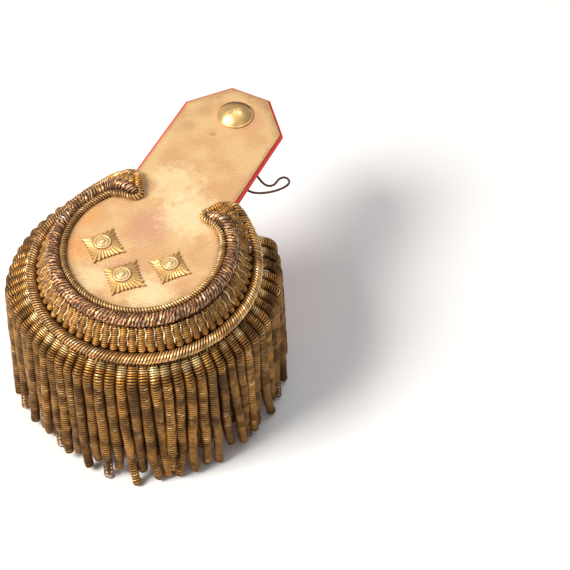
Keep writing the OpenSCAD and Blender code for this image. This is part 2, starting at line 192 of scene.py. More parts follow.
# Wires: whose colours, lean, tarnish, roughness, metal, relief in millimetres, glint (painted highlights on
# the crowns), groove (strength of the painted shade between the turns), slip and patch scale
WIRES = {
    "fine_gimp": ("fine", 2.0, 0.4, 0.38, 0.6, 0.14, 0.45, 0.8, 0.3, 90.0),
    "coarse_gimp": ("coarse", -COARSE_LEAN, 0.6, 0.37, 0.75, 0.16, 0.55, 0.85, 0.3, 120.0),
    "tarnished_wire": ("roll", -ROLL_LEAN, 0.7, 0.34, 0.6, 0.24, 0.4, 0.9, 1.9, 220.0),
    "matt_bullion": ("bar", 1.0, 0.4, 0.46, 0.45, 0.16, 0.4, 0.9, 0.3, 150.0),
    "bright_purl": ("purl", 1.0, 0.2, 0.22, 0.7, 0.1, 0.9, 0.5, 0.4, 90.0),
    "fringe_bullion": ("fringe", 1.0, 0.6, 0.46, 0.7, 0.3, 0.09, 1.0, 0.12, 110.0),
}

# The tie's middle line, from under the strap, out beside it and back
TIE_D, TIE_SIDES = 1.4, 12
TIE_ROUTE = (
    (24, 80, -3.2), (24, 80, -4.4), (24.5, 79.8, -5.9), (26.5, 79.3, -7), (29.3, 78.1, -8), (32, 76.9, -9),
    (34.7, 76.4, -10), (36.9, 77.4, -11), (38.3, 80, -12), (38.5, 83, -12.6), (38.7, 86, -13),
    (40.5, 88.4, -13.2), (43.2, 88.3, -13.4), (44.8, 86, -13.4), (44.2, 82.6, -13.2), (42.4, 79, -12.8),
    (40, 75.6, -12.2), (37.2, 72.4, -11.4), (34.2, 69.6, -10.4), (31.2, 67.6, -9.2), (28.2, 66.8, -7.8),
    (25.6, 66.9, -6.2), (24.2, 67.1, -4.8), (24, 67.2, -3.2),
)

# Camera, on the board's own axes, and lamps: place in metres, size and colour
CAM_AZ, CAM_EL, CAM_ANGLE, CAM_DIST = 26.1, 52.3, 20.0, 847.0
CAM_AT = (79.2, 10.7, 0.0)
LAMPS = {
    "key": ((-0.9, -1.0, 1.5), 0.8, (1, 0.97, 0.92)),
    "fill": ((1.3, -0.6, 1.1), 1.2, (1, 1, 1)),
    "top": ((0.1, 0.7, 1.9), 1.0, (1, 1, 1)),
}
LAMP_AIM = (0, 0, 0.06)
FLOOR_HALF = 6.0


def place(points):
    """Board millimetres to metres in the shared frame: scaled, then moved to the field's place and height."""
    return np.asarray(points, float) * MM + np.array([FIELD_X * MM, FIELD_Y * MM, BOARD_H * MM])


def hash01(i, k):
    """A repeatable number from 0 to 1: the fraction of a large sine, in degrees, of the two indices."""
    v = np.sin(np.radians(np.asarray(i, float) * 727.1 + k * 311.7)) * 43758.5
    return v - np.floor(v)


def noise1(x, seed):
    """Smooth noise along a line: hashed values at whole numbers, eased between them by a cubic."""
    x = np.asarray(x, float)
    i = np.floor(x)
    t = x - i
    t = t * t * (3 - 2 * t)
    return hash01(i, seed) * (1 - t) + hash01(i + 1, seed) * t


def unit(v):
    """Each vector divided by its length."""
    return v / np.maximum(np.linalg.norm(v, axis=-1, keepdims=True), 1e-12)


def ramp(x, start, length):
    """0 up to the start, rising in a straight line to 1 over the length."""
    return np.clip((x - start) / length, 0, 1)


def six_volumes(points, quads, tris):
    """Six times the signed volume: the sum over the triangles of a . (b x c)."""
    faces = np.concatenate([quads[:, [0, 1, 2]], quads[:, [0, 2, 3]], tris])
    a, b, c = np.moveaxis((points - points.mean(0))[faces], 1, 0)
    return float(np.einsum("ij,ij->i", a, np.cross(b, c)).sum())


class Sheaf:
    """Closed lofts gathered into one mesh, each with a UV of turns along and round, and its own shade."""

    def __init__(self):
        self.parts, self.count = [], 0

    def add(self, rings, along, shade=0.5, poles=None):
        """Rings of points (n, k, 3) joined ring to ring and closed round and at both ends.
        The vertex in ring i, place j has UV (along[i], j / k), and the seam's last face ends at 1.
        The shade is one number, or one for each ring or each vertex."""
        n, k, _ = rings.shape
        first, last = poles if poles is not None else (rings[0].mean(0), rings[-1].mean(0))
        points = np.concatenate([rings.reshape(-1, 3), first[None], last[None]])
        i, j = np.meshgrid(np.arange(n - 1), np.arange(k), indexing="ij")
        m = (j + 1) % k
        quads = np.stack([i * k + j, (i + 1) * k + j, (i + 1) * k + m, i * k + m], -1).reshape(-1, 4)
        u0, u1, v0, v1 = along[i], along[i + 1], j / k, (j + 1) / k
        quad_uv = np.stack([u0, v0, u1, v0, u1, v1, u0, v1], -1).reshape(-1, 4, 2)
        a = np.arange(k)
        b, top, hub = (a + 1) % k, (n - 1) * k, np.full(k, n * k)
        tris = np.concatenate([np.stack([hub, a, b], -1), np.stack([hub + 1, top + b, top + a], -1)])
        end = np.repeat([along[0], along[-1]], k)
        va, vb = np.concatenate([a, a + 1]) / k, np.concatenate([a + 1, a]) / k
        tri_uv = np.stack([end, (va + vb) / 2, end, va, end, vb], -1).reshape(-1, 3, 2)
        if six_volumes(points, quads, tris) < 0:
            quads, tris, quad_uv, tri_uv = (x[:, ::-1] for x in (quads, tris, quad_uv, tri_uv))
        shade = np.asarray(shade, float)
        shade = np.broadcast_to(shade[:, None] if shade.ndim == 1 else shade, (n, k))
        shade = np.concatenate([shade.ravel(), shade[[0, -1], 0]])
        self.parts.append((points, quads + self.count, tris + self.count, quad_uv, tri_uv, shade))
        self.count += len(points)

    def build(self, name, node, material):
        """The gathered lofts as one object at the origin, in metres, which stands for its CAD node."""
        points, quads, tris, quad_uv, tri_uv, shade = (np.concatenate(part) for part in zip(*self.parts))
        mesh = bpy.data.meshes.new(name)
        mesh.vertices.add(len(points))
        mesh.vertices.foreach_set("co", place(points).ravel())
        mesh.loops.add(quads.size + tris.size)
        mesh.loops.foreach_set("vertex_index", np.concatenate([quads.ravel(), tris.ravel()]))
        mesh.polygons.add(len(quads) + len(tris))
        starts = np.concatenate([np.arange(len(quads)) * 4, quads.size + np.arange(len(tris)) * 3])
        mesh.polygons.foreach_set("loop_start", starts)
        mesh.polygons.foreach_set("use_smooth", np.full(len(starts), True))
        uv = mesh.uv_layers.new(name="turns")
        uv.data.foreach_set("uv", np.concatenate([quad_uv.ravel(), tri_uv.ravel()]))
        mesh.attributes.new("shade", "FLOAT", "POINT").data.foreach_set("value", shade)
        mesh.update(calc_edges=True)
        mesh.validate()
        mesh.materials.append(material)
        obj = bpy.data.objects.new(name, mesh)
        bpy.context.scene.collection.objects.link(obj)
        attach(obj, "root")
        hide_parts(node)
        return obj


def ease_route(rows, steps):
    """Rows joined by a Catmull-Rom curve, with this many steps between two rows."""
    r = np.asarray(rows, float)
    p = np.concatenate([r[:1], r, r[-1:]])
    a, b, c, d = p[:-3, None], p[1:-2, None], p[2:-1, None], p[3:, None]
    t = (np.arange(steps) / steps)[None, :, None]
    mid = 0.5 * (2 * b + (c - a) * t + (2 * a - 5 * b + 4 * c - d) * t**2 + (3 * b - a - 3 * c + d) * t**3)
    return np.concatenate([mid.reshape(-1, r.shape[1]), r[-1:]])


def resample(rows, step):
    """The route's rows at even steps of its own length, and the length at each."""
    s = np.concatenate([[0], np.cumsum(np.linalg.norm(np.diff(rows[:, :3], axis=0), axis=1))])
    t = np.linspace(0, s[-1], max(2, int(round(s[-1] / step)) + 1))
    return np.stack([np.interp(t, s, column) for column in rows.T], -1), t


def with_radius(points, radius, step):
    """Points as a tube's rows of one radius, at even steps."""
    return resample(np.concatenate([points, np.full((len(points), 1), radius)], axis=1), step)


def roll_rows(a, radius, height, rho, rise):
    """A roll's rows at angles a from the front, in degrees: (r sin a, -r cos a, z, rho)."""
    a = np.asarray(a, float)
    s, c = np.sin(np.radians(a)), np.cos(np.radians(a))
    z = height + np.interp(np.abs(a), *zip(*rise))
    return np.stack([radius * s, -radius * c, z, np.full_like(a, rho)], -1)


def round_rows(row):
    """A roll's rows all along the crescent's round part, every two degrees."""
    return roll_rows(np.arange(-ROUND_A, ROUND_A + 1, 2), *row)


def nearer(rows, shift):
    """An end's rows with y less by each one's shift."""
    return np.asarray(rows, float) - np.array([(0, s, 0, 0) for s in shift])


def side_end(rows, shift, sign):
    """An end's rows as on the right, or for sign -1 nearer by their shift and mirrored to the left."""
    return (nearer(rows, shift) if sign < 0 else np.asarray(rows, float)) * np.array([sign, 1, 1, 1])


def crescent_route(row, end, shift, step):
    """The round part with its right end from a table, and on the left the same end shifted and mirrored.
    Two passes average each point with its neighbours, and the rows come at even steps."""
    middle = round_rows(row)
    right = ease_route(np.concatenate([middle[-3:], side_end(end, shift, 1)]), 6)[12:]
    left = ease_route(np.concatenate([middle[2::-1], side_end(end, shift, -1)]), 6)[:11:-1]
    rows = np.concatenate([left[:-1], middle[1:-1], right[1:]])
    for _ in range(2):
        rows = np.concatenate([rows[:1], (rows[:-2] + 2 * rows[1:-1] + rows[2:]) / 4, rows[-1:]])
    return resample(rows, step)


def rings_round(p, r, ang, across, over):
    """Rings of radius r round a line's points: p + r (cos ang across + sin ang over)."""
    ang = ang[None, :, None]
    return p[:, None] + r[..., None] * (np.cos(ang) * across[:, None] + np.sin(ang) * over[:, None])


def wound_tube(sheaf, rows, t, sides, relief=None, up=(0, 0, 1), shade=0.5, pitch=1.0, along=None, blunt=1.0):
    """A tube along a route: at length t and angle v, rho(t) plus relief(t, turn, v), times the round end.
    The turn is along, or else t over the pitch.
    The round end is sqrt(1 - (1 - s / rho)^2) where s, the distance to the end, is under rho."""
    along = t / pitch if along is None else along
    p, rho = rows[:, :3], rows[:, 3]
    ahead = unit(np.gradient(p, axis=0))
    across = unit(np.cross(ahead, np.asarray(up, float)))
    v = np.arange(sides) / sides
    near = np.minimum(t - t[0], t[-1] - t) / (rho * blunt)
    cap = np.sqrt(np.clip(1 - (1 - np.clip(near, 0.004, 1)) ** 2, 0, 1))
    extra = 0.0 if relief is None else relief(t[:, None], along[:, None], v[None, :])
    r = (rho[:, None] + extra) * cap[:, None]
    rings = rings_round(p, r, 2 * math.pi * v, across, np.cross(across, ahead))
    sheaf.add(rings, along, shade, poles=(p[0], p[-1]))


def swept_ring(sheaf, profile, half_a, count, shade):
    """A profile of (radius, height) carried round even angles a from the front: (r sin a, -r cos a, z)."""
    a = np.radians(np.linspace(-half_a, half_a, count))[:, None]
    r, z = np.array(profile, float).T[:, None]
    sheaf.add(np.stack([r * np.sin(a), -r * np.cos(a), np.broadcast_to(z, (count, z.size))], -1),
              np.arange(count) * 1.0, shade)


# Shader nodes


class Nodes:
    """Adds nodes to a tree. Each method gives what its node puts out."""

    def __init__(self, tree):
        self.tree = tree

    def feed(self, socket, value):
        """Links a socket to what is put out, or sets a number, a vector or a colour on it."""
        if isinstance(value, bpy.types.NodeSocket):
            self.tree.links.new(value, socket)
        else:
            socket.default_value = (*value, 1) if socket.type == "RGBA" else value

    def feed_all(self, sockets, values):
        """Feeds sockets by their names or numbers."""
        for label, value in values.items():
            self.feed(sockets[label], value)

    def add(self, kind, values, out=0, **settings):
        """A node of that kind with its settings, fed with these values."""
        node = self.tree.nodes.new("ShaderNode" + kind)
        for name, value in settings.items():
            setattr(node, name, value)
        self.feed_all(node.inputs, values)
        return node.outputs[out]

    def maths(self, operation, *values):
        """A Math node."""
        return self.add("Math", dict(enumerate(values)), operation=operation)

    def times(self, a, b):
        """One number times another."""
        return self.maths("MULTIPLY", a, b)

    def mix(self, factor, a, b, kind="MIX"):
        """A colour Mix node: its sockets 0, 6 and 7 are the factor and both colours, and its output is 2."""
        return self.add("Mix", {0: factor, 6: a, 7: b}, 2, data_type="RGBA", blend_type=kind)

    def scaled(self, colour, amount):
        """A colour times a number."""
        return self.mix(1.0, colour, self.add("CombineColor", {0: amount, 1: amount, 2: amount}), "MULTIPLY")

    def noise(self, vector, scale, detail=3.0, rough=0.55):
        """A Noise Texture's value."""
        return self.add("TexNoise", {"Vector": vector, "Scale": scale, "Detail": detail, "Roughness": rough})

    def remap(self, value, low, high, to_low=0.0, to_high=1.0):
        """A Map Range node with a smooth step."""
        values = dict(enumerate((value, low, high, to_low, to_high)))
        return self.add("MapRange", values, interpolation_type="SMOOTHSTEP")

    def chance(self, x, y):
        """A White Noise Texture's value for the cell (x, y)."""
        cell = self.add("CombineXYZ", {0: x, 1: y})
        return self.add("TexWhiteNoise", {"Vector": cell}, "Value", noise_dimensions="2D")

    def split(self, vector):
        """A vector's x and y."""
        sockets = self.add("SeparateXYZ", {0: vector}).node.outputs
        return sockets[0], sockets[1]

    def place(self):
        """The Object coordinates."""
        return self.add("TexCoord", {}, "Object")

    def shade(self):
        """The mesh's own shade."""
        return self.add("Attribute", {}, "Fac", attribute_name="shade")

    def effect(self, name, values):
        """All that a shared effect puts out, at the Object coordinates."""
        values = {"Place": self.place(), **values}
        return self.add("Group", values, node_tree=bpy.data.node_groups[name]).node.outputs

    def patches(self, base, patch, scale, amount, grain):
        """The worn patches in two colours, with the scale of both patches and grain."""
        return self.effect("worn_patches", {
            "Base": base, "Patch": patch, "Patch Scale": scale, "Amount": amount, "Grain Scale": grain,
        })

    def dress(self, colour, rough, metal, height, relief, strength=1.0):
        """Feeds the Principled shader, with a bump of this relief in millimetres."""
        bump = self.add("Bump", {"Height": height, "Distance": relief * MM, "Strength": strength})
        self.feed_all(self.tree.nodes["Principled BSDF"].inputs, {
            "Base Color": colour, "Roughness": rough, "Metallic": metal, "Normal": bump,
        })


def start_group(name, takes, puts_out):
    """An empty node group. It takes numbers, colours of four numbers and, for None, vectors.
    Gives its nodes, the sockets of what it takes, and those of what it puts out."""
    if name in bpy.data.node_groups:
        bpy.data.node_groups.remove(bpy.data.node_groups[name])
    tree = bpy.data.node_groups.new(name, "ShaderNodeTree")
    for label, value in takes.items():
        kind = "Vector" if value is None else "Color" if isinstance(value, tuple) else "Float"
        socket = tree.interface.new_socket(name=label, in_out="INPUT", socket_type="NodeSocket" + kind)
        if value is not None:
            socket.default_value = value
    for label in puts_out:
        kind = "Color" if label == "Colour" else "Float"
        tree.interface.new_socket(name=label, in_out="OUTPUT", socket_type="NodeSocket" + kind)
    return Nodes(tree), tree.nodes.new("NodeGroupInput").outputs, tree.nodes.new("NodeGroupOutput").inputs


def winding_group():
    """Turns of wire: a wave of the length along plus lean times the angle round, with painted shade in the
    grooves.
    Each turn has its own brightness, partly random tone and partly painted glint, and a painted highlight on
    its crown, more on some stretches of it than on others.
    Where the shade is high the turns are pale, and broad noise over the surface darkens and dulls them."""
    nodes, g, out = start_group("wire_winding", {
        "Along": 0.0, "Round": 0.0, "Lean": 1.0, "Shade": 0.5, "Place": None, "Bright": (0.9, 0.7, 0.3, 1),
        "Base": (0.6, 0.4, 0.15, 1), "Dark": (0.1, 0.06, 0.02, 1), "Patch Scale": 90.0, "Tarnish": 0.3,
        "Glint": 0.4, "Groove": 0.5, "Slip": 0.4,
    }, ("Colour", "Height", "Roughness"))
    slip = nodes.times(nodes.noise(g["Place"], 260.0, 2.0), g["Slip"])
    turn = nodes.maths("ADD", nodes.maths("ADD", g["Along"], nodes.times(g["Round"], g["Lean"])), slip)
    wave = nodes.maths("ABSOLUTE", nodes.maths("SINE", nodes.times(turn, math.pi)))
    cell = nodes.maths("FLOOR", turn)
    stretch = nodes.maths("FLOOR", nodes.times(g["Round"], 7.0))
    # Painted shade: the dark colour in the grooves between the turns
    body = nodes.mix(nodes.remap(wave, nodes.times(g["Groove"], 0.35), g["Groove"]), g["Dark"], g["Base"])
    # Painted glints and highlights: the bright colour on the crowns of some turns
    lit = nodes.remap(nodes.chance(cell, stretch), nodes.maths("SUBTRACT", 1.0, g["Glint"]), 1.0, 0.15, 1.0)
    body = nodes.mix(nodes.times(nodes.remap(wave, 0.7, 0.98), lit), body, g["Bright"])
    pale = nodes.times(nodes.remap(wave, 0.3, 0.8), nodes.remap(g["Shade"], 0.7, 1.1, 0.0, 0.7))
    body = nodes.mix(pale, body, g["Bright"])
    broad = nodes.noise(g["Place"], g["Patch Scale"], 4.0, 0.5)
    tarnish = nodes.times(nodes.remap(broad, 0.4, 0.62), g["Tarnish"])
    body = nodes.mix(tarnish, body, g["Dark"])
    # Each turn's own brightness: partly random tone, partly painted glint
    each = nodes.remap(nodes.chance(cell, g["Glint"]), 0.0, 1.0, 0.78, 1.15)
    body = nodes.scaled(body, nodes.times(each, nodes.maths("ADD", g["Shade"], 0.5)))
    # Where the shade is near nothing the dark colour takes over: painted shade for the dark pieces in gaps
    body = nodes.mix(nodes.remap(g["Shade"], 0.0, 0.12, 0.85, 0.0), body, g["Dark"])
    height = nodes.maths("POWER", wave, 0.6)
    nodes.feed_all(out, {"Colour": body, "Height": height, "Roughness": nodes.times(tarnish, 0.3)})


def patch_group():
    """Two colours mixed by broad noise, with a fine grain: for cloth, lace and gilt."""
    nodes, g, out = start_group("worn_patches", {
        "Place": None, "Base": (0.8, 0.6, 0.3, 1), "Patch": (0.7, 0.4, 0.3, 1), "Patch Scale": 40.0,
        "Amount": 0.5, "Grain Scale": 1500.0,
    }, ("Colour", "Mask", "Grain"))
    broad, grain = (nodes.noise(g["Place"], g[scale], 3.0, 0.5) for scale in ("Patch Scale", "Grain Scale"))
    mask = nodes.times(nodes.remap(broad, 0.4, 0.66), g["Amount"])
    nodes.feed_all(out, {"Colour": nodes.mix(mask, g["Base"], g["Patch"]), "Mask": mask, "Grain": grain})


def stain_reflection_group():
    """A round stain with a ragged edge, also used for painted reflections: the distance to its centre, moved
    by noise, eased within the reach.
    """
    nodes, g, out = start_group(
        "round_stain", {"Place": None, "Centre": None, "Reach": 0.01, "Amount": 0.5}, ("Mask",))
    far = nodes.add("VectorMath", {0: g["Place"], 1: g["Centre"]}, "Value", operation="DISTANCE")
    moved = nodes.maths("SUBTRACT", nodes.noise(g["Place"], 240.0), 0.5)
    ragged = nodes.maths("ADD", nodes.maths("DIVIDE", far, g["Reach"]), moved)
    nodes.feed_all(out, {"Mask": nodes.times(nodes.remap(ragged, 1.0, 0.25), g["Amount"])})


def start_material(name):
    """A material and its nodes."""
    mat = bpy.data.materials.new(name)
    mat.use_nodes = True
    return mat, Nodes(mat.node_tree)


def wire_material(name, colours):
    """Wound metal thread in its base colour, its bright colour for painted highlights and glints and its dark
    colour for painted shade, with its turns from the piece's own UV.
    """
    mat, nodes = start_material(name)
    whose, lean, tarnish, rough, metal, relief, glint, groove, slip, scale = WIRES[name]
    base, bright, dark = (getattr(colours, f"{whose}_{part}") for part in ("base", "bright", "dark"))
    along, about = nodes.split(nodes.add("UVMap", {}, uv_map="turns"))
    got = nodes.effect("wire_winding", {
        "Along": along, "Round": about, "Lean": lean, "Shade": nodes.shade(), "Base": base,
        "Bright": bright, "Dark": dark, "Patch Scale": scale, "Tarnish": tarnish, "Glint": glint,
        "Groove": groove, "Slip": slip,
    })
    nodes.dress(got["Colour"], nodes.maths("ADD", got["Roughness"], rough), metal, got["Height"], relief)
    return mat


def lace_material(colours):
    """Ribbed metal lace: ribs across the strap with painted shade in their grooves and painted highlights on
    their crowns, worn patches, stains from wear and handling, painted reflections of the red cloth, and
    darkening near its edge that is partly grime and partly painted shade.
    The ribs are a sine of the way along the strap, and fine threads are a sine of the way across."""
    mat, nodes = start_material("gold_lace")
    at = nodes.place()
    got = nodes.patches(colours.lace, colours.lace_worn, 60.0, 0.75, 900.0)
    colour, grain = got["Colour"], got["Grain"]
    # Stains, and painted reflections of the red cloth
    for x, y, reach, amount, kind in SPOTS_OF_STAIN_AND_REFLECTION:
        centre = Vector(place((x, y, 0.0)))
        mask = nodes.effect("round_stain", {"Centre": centre, "Reach": reach * MM, "Amount": amount})["Mask"]
        colour = nodes.mix(mask, colour, getattr(colours, "lace_" + kind))
    # Darker near the lace's edge and where the cord lies on it: partly grime, partly painted shade
    ragged = nodes.maths("MULTIPLY_ADD", nodes.noise(at, 120.0, 4.0), -1.2, 0.6)
    edge = nodes.remap(nodes.maths("ADD", nodes.shade(), ragged), 0.7, 0.0, 0.0, 0.4)
    colour = nodes.mix(edge, colour, colours.lace_grime_and_shade)
    x, y = nodes.split(nodes.add("Mapping", {"Vector": at, "Rotation": (0, 0, math.radians(-RIB_TURN))}))
    wander = nodes.times(nodes.noise(at, 300.0, 2.0), 2.4)
    ribs = nodes.maths("SINE", nodes.maths("MULTIPLY_ADD", y, 2 * math.pi / (RIB_PITCH * MM), wander))
    threads = nodes.maths("SINE", nodes.times(x, 2 * math.pi / (CROSS_PITCH * MM)))
    weave = nodes.maths("MULTIPLY_ADD", grain, 1.6, nodes.maths("MULTIPLY_ADD", threads, 0.25, ribs))
    # Painted shade in the grooves between the ribs, and painted highlights on their crowns
    groove = nodes.times(nodes.remap(ribs, 0.1, -0.9), nodes.remap(grain, 0.35, 0.6, 0.04, 0.28))
    light = nodes.times(nodes.remap(ribs, 0.2, 1.0), nodes.remap(grain, 0.45, 0.7, 0.0, 0.45))
    colour = nodes.mix(light, nodes.mix(groove, colour, colours.lace_groove), colours.lace_light)
    nodes.dress(colour, 0.6, 0.2, weave, 0.04, 0.8)
    return mat


def cloth_material(colours):
    """Scarlet felted wool with a fine nap."""
    mat, nodes = start_material("scarlet_cloth")
    got = nodes.patches(colours.scarlet, colours.scarlet_worn, 60.0, 0.5, 2600.0)
    nodes.dress(got["Colour"], 0.9, 0.0, got["Grain"], 0.15)
    nodes.tree.nodes["Principled BSDF"].inputs["Sheen Weight"].default_value = 0.3
    return mat


def button_material(colours):
    """Gilded metal with worn patches, with painted shade and a painted dark reflection where its shade is low.
    """
    mat, nodes = start_material("button_gilt")
    got = nodes.patches(colours.button, colours.button_worn, 200.0, 0.5, 2500.0)
    colour = nodes.mix(nodes.remap(nodes.shade(), 0.0, 0.9, 1.0, 0.0), got["Colour"], colours.button_dark_reflection)
    nodes.dress(colour, nodes.maths("MULTIPLY_ADD", got["Mask"], 0.25, 0.34), 0.85, got["Grain"], 0.02)
    return mat


def star_material(colours):
    """Gilt embroidery: painted shade between its rays and at its rim by the shade, with painted highlights on
    the rays.
    """
    mat, nodes = start_material("star_gilt")
    got = nodes.patches(colours.star, colours.star_worn, 320.0, 0.55, 1800.0)
    shade = nodes.shade()
    colour = nodes.mix(nodes.remap(shade, 0.0, 0.5, 1.0, 0.0), got["Colour"], colours.star_dark)
    high = nodes.times(nodes.remap(shade, 0.6, 1.0), nodes.remap(got["Grain"], 0.4, 0.6, 0.3, 1.0))
    nodes.dress(nodes.mix(high, colour, colours.star_bright), 0.42, 0.55, got["Grain"], 0.05)
    return mat


def thread_material(colours):
    """Dark brown twisted thread."""
    mat, nodes = start_material("tie_thread")
    got = nodes.patches(colours.tie, colours.tie_worn, 300.0, 0.7, 3000.0)
    nodes.dress(got["Colour"], 0.8, 0.0, got["Grain"], 0.1)
    return mat


# The board


def board_outline(margin, disc, count):
    """The board's edge at angles about its hub, as directions and distances: the farther of disc and strap.
    The strap is a six-sided outline, and a ray leaves it at the nearest of its sides' lines.
    The angles are even, apart from those of the corners and of the neck."""
    w = STRAP_HALF - margin
    e = STRAP_END_HALF - margin * 0.5
    shoulder = STRAP_REACH - CORNER_LEN - margin * 0.4
    end = STRAP_REACH - margin
    key = [math.atan2(x, y - HUB_Y) for x, y in ((w, shoulder), (e, end), (-e, end), (-w, shoulder))]
    neck = math.atan2(w, math.sqrt(disc**2 - w**2) - HUB_Y)
    a = np.linspace(-math.pi, math.pi, count, endpoint=False)
    for k in [*key, neck, -neck]:
        a[np.argmin(np.abs(a - k))] = k
    a = np.sort(a)
    d = np.stack([np.sin(a), np.cos(a)], -1)
    slant = unit(np.array([end - shoulder, w - e]))
    reach = slant @ np.array([w, shoulder])
    far = 1e9
    side = w / np.maximum(np.abs(d[:, 0]), 1e-9)
    top = np.where(d[:, 1] > 1e-9, (end - HUB_Y) / np.maximum(d[:, 1], 1e-9), far)
    toward = np.abs(d[:, 0]) * slant[0] + d[:, 1] * slant[1]
    cut = np.where(toward > 1e-9, (reach - HUB_Y * slant[1]) / np.maximum(toward, 1e-9), far)
    strap = np.minimum(np.minimum(side, top), cut)
    strap = np.where(HUB_Y + strap * d[:, 1] < 0, 0, strap)
    b = HUB_Y * d[:, 1]
    round_part = -b + np.sqrt(np.maximum(b * b - HUB_Y**2 + disc**2, 0))
    return d, np.maximum(strap, round_part)


def board_slab(sheaf, margin, disc, low, high, edge, steps, relief=None, count=240):
    """A slab whose section runs from the middle of its underside, out, round the edge and back over the top.
    Its edge is a quarter circle at the bottom and another at the top."""
    d, reach = board_outline(margin, disc, count)
    q = np.linspace(0, 1, 5) * math.pi / 2
    across, flat = np.linspace(0.02, 0.97, steps), np.full(steps, edge)
    share = np.concatenate([across, np.ones(2 * len(q)), across[::-1]])
    inset = np.concatenate([flat, edge * (1 - np.sin(q)), edge * (1 - np.cos(q)), flat])
    rise, fall = low + edge * (1 - np.cos(q)), high - edge * (1 - np.sin(q))
    z = np.concatenate([np.full(steps, low), rise, fall, np.full(steps, high)])
    r = (reach - inset[:, None]) * share[:, None]
    rings = np.stack([r * d[:, 0], HUB_Y + r * d[:, 1], np.broadcast_to(z[:, None], r.shape)], -1)
    if relief is not None:
        rings[..., 2] += np.where(z[:, None] > (low + high) / 2, relief(rings[..., 0], rings[..., 1]), 0)
    poles = (np.array([0, HUB_Y, low]), np.array([0, HUB_Y, high]))
    # The shade falls towards the edge; there the lace darkens, partly as grime and partly as painted shade
    sheaf.add(rings, np.arange(len(rings)) / len(rings), np.clip((1 - share) / 0.12, 0, 1), poles=poles)


def lace_relief(x, y):
    """Slight hollows of soft lace: the product of slow waves across and along, and one soft crease."""
    crease = np.exp(-(((x + 0.35 * y + 2.6) / 1.6) ** 2)) * np.exp(-(((y - 28) / 9) ** 2))
    return -0.09 * (1 + np.sin(x * 0.21 + 1.3) * np.sin(y * 0.13 + 0.4)) - 0.25 * crease


def make_board(colours):
    """The scarlet board with its lining, and its lace."""
    sheaf = Sheaf()
    low = -LACE_T - CLOTH_T
    board_slab(sheaf, 0.0, DISC_R, low, -LACE_T, 0.5, 12)
    board_slab(sheaf, LINING_MARGIN, LINING_R, low - LINING_T, low + 0.4, 0.15, 12)
    sheaf.build("scarlet_board", "underlay", cloth_material(colours))
    sheaf = Sheaf()
    board_slab(sheaf, CLOTH_MARGIN, FIELD_R, -LACE_T + 0.05, 0.0, 0.35, 30, lace_relief)
    sheaf.build("gold_lace_top", "lace", lace_material(colours))


# The button and the stars


def make_button(colours):
    """The domed button: a lathe of post, rim and dome, with a low eight-rayed star in a wreath on the dome.
    The dome is part of a ball, and its shade falls towards the side with the painted dark reflection."""
    ball = (DOME_R**2 + DOME_H**2) / (2 * DOME_H)
    r_dome = DOME_R * np.linspace(1, 0.02, 60)
    z_dome = 0.9 + DOME_H - ball + np.sqrt(ball**2 - r_dome**2)
    profile = np.array([*BUTTON_BACK, *zip(r_dome, z_dome)])
    a = np.arange(216) / 216 * 2 * math.pi
    r, z = profile[:, 0][:, None], profile[:, 1][:, None]
    share = np.clip(r / DOME_R, 0, 1)
    ray = np.abs(np.cos(a * EMBLEM_RAYS / 2))[None, :] ** 3
    inside = np.clip((EMBLEM_R * (0.4 + 0.6 * ray) - share) * 6, 0, 1)
    wreath = np.exp(-(((share - WREATH_R) / 0.06) ** 2)) * (0.55 + 0.45 * np.cos(a * 36 + share * 20))
    lift = np.where(z > 1.1, 0.1 * inside + 0.08 * wreath, 0.0)
    # Painted dark reflection on one side of the dome, and painted shade between the emblem's rays
    high = share * np.cos(a - math.radians(BUTTON_DARK_REFLECTION_A))[None, :]
    painted_shade = 1 - 0.9 * ramp(high, 0.2, 0.45) - 0.35 * inside * (0.5 - 0.5 * np.cos(a * EMBLEM_RAYS))
    sheaf = Sheaf()
    rings = np.stack([r * np.cos(a)[None, :], BUTTON_Y + r * np.sin(a)[None, :], z + lift], -1)
    sheaf.add(rings, np.arange(len(profile)) / 10, painted_shade)
    sheaf.build("domed_button", "button", button_material(colours))


def star_edge(a):
    """The star's edge at angle a: half the width at its four tips, less between them, with seven rays a side.
    u is the distance from the middle of a side, 0 there and 1 at a tip."""
    q = a / (math.pi / 2)
    u = np.abs(2 * (q - np.floor(q)) - 1)
    side = STAR_W * (0.33 + 0.17 * u**2.6)
    return side * (1 - 0.11 * (0.5 - 0.5 * np.cos(a * STAR_RAYS)))


def star_height(share, ridge):
    """Height at a share of the way out: falls from the boss to a thin edge, with a ridge on each ray."""
    return 0.75 + 1.75 * (1 - share) + 0.42 * (ridge**0.7 - 0.6) * np.clip(share * 2.0 - 0.4, 0, 1)


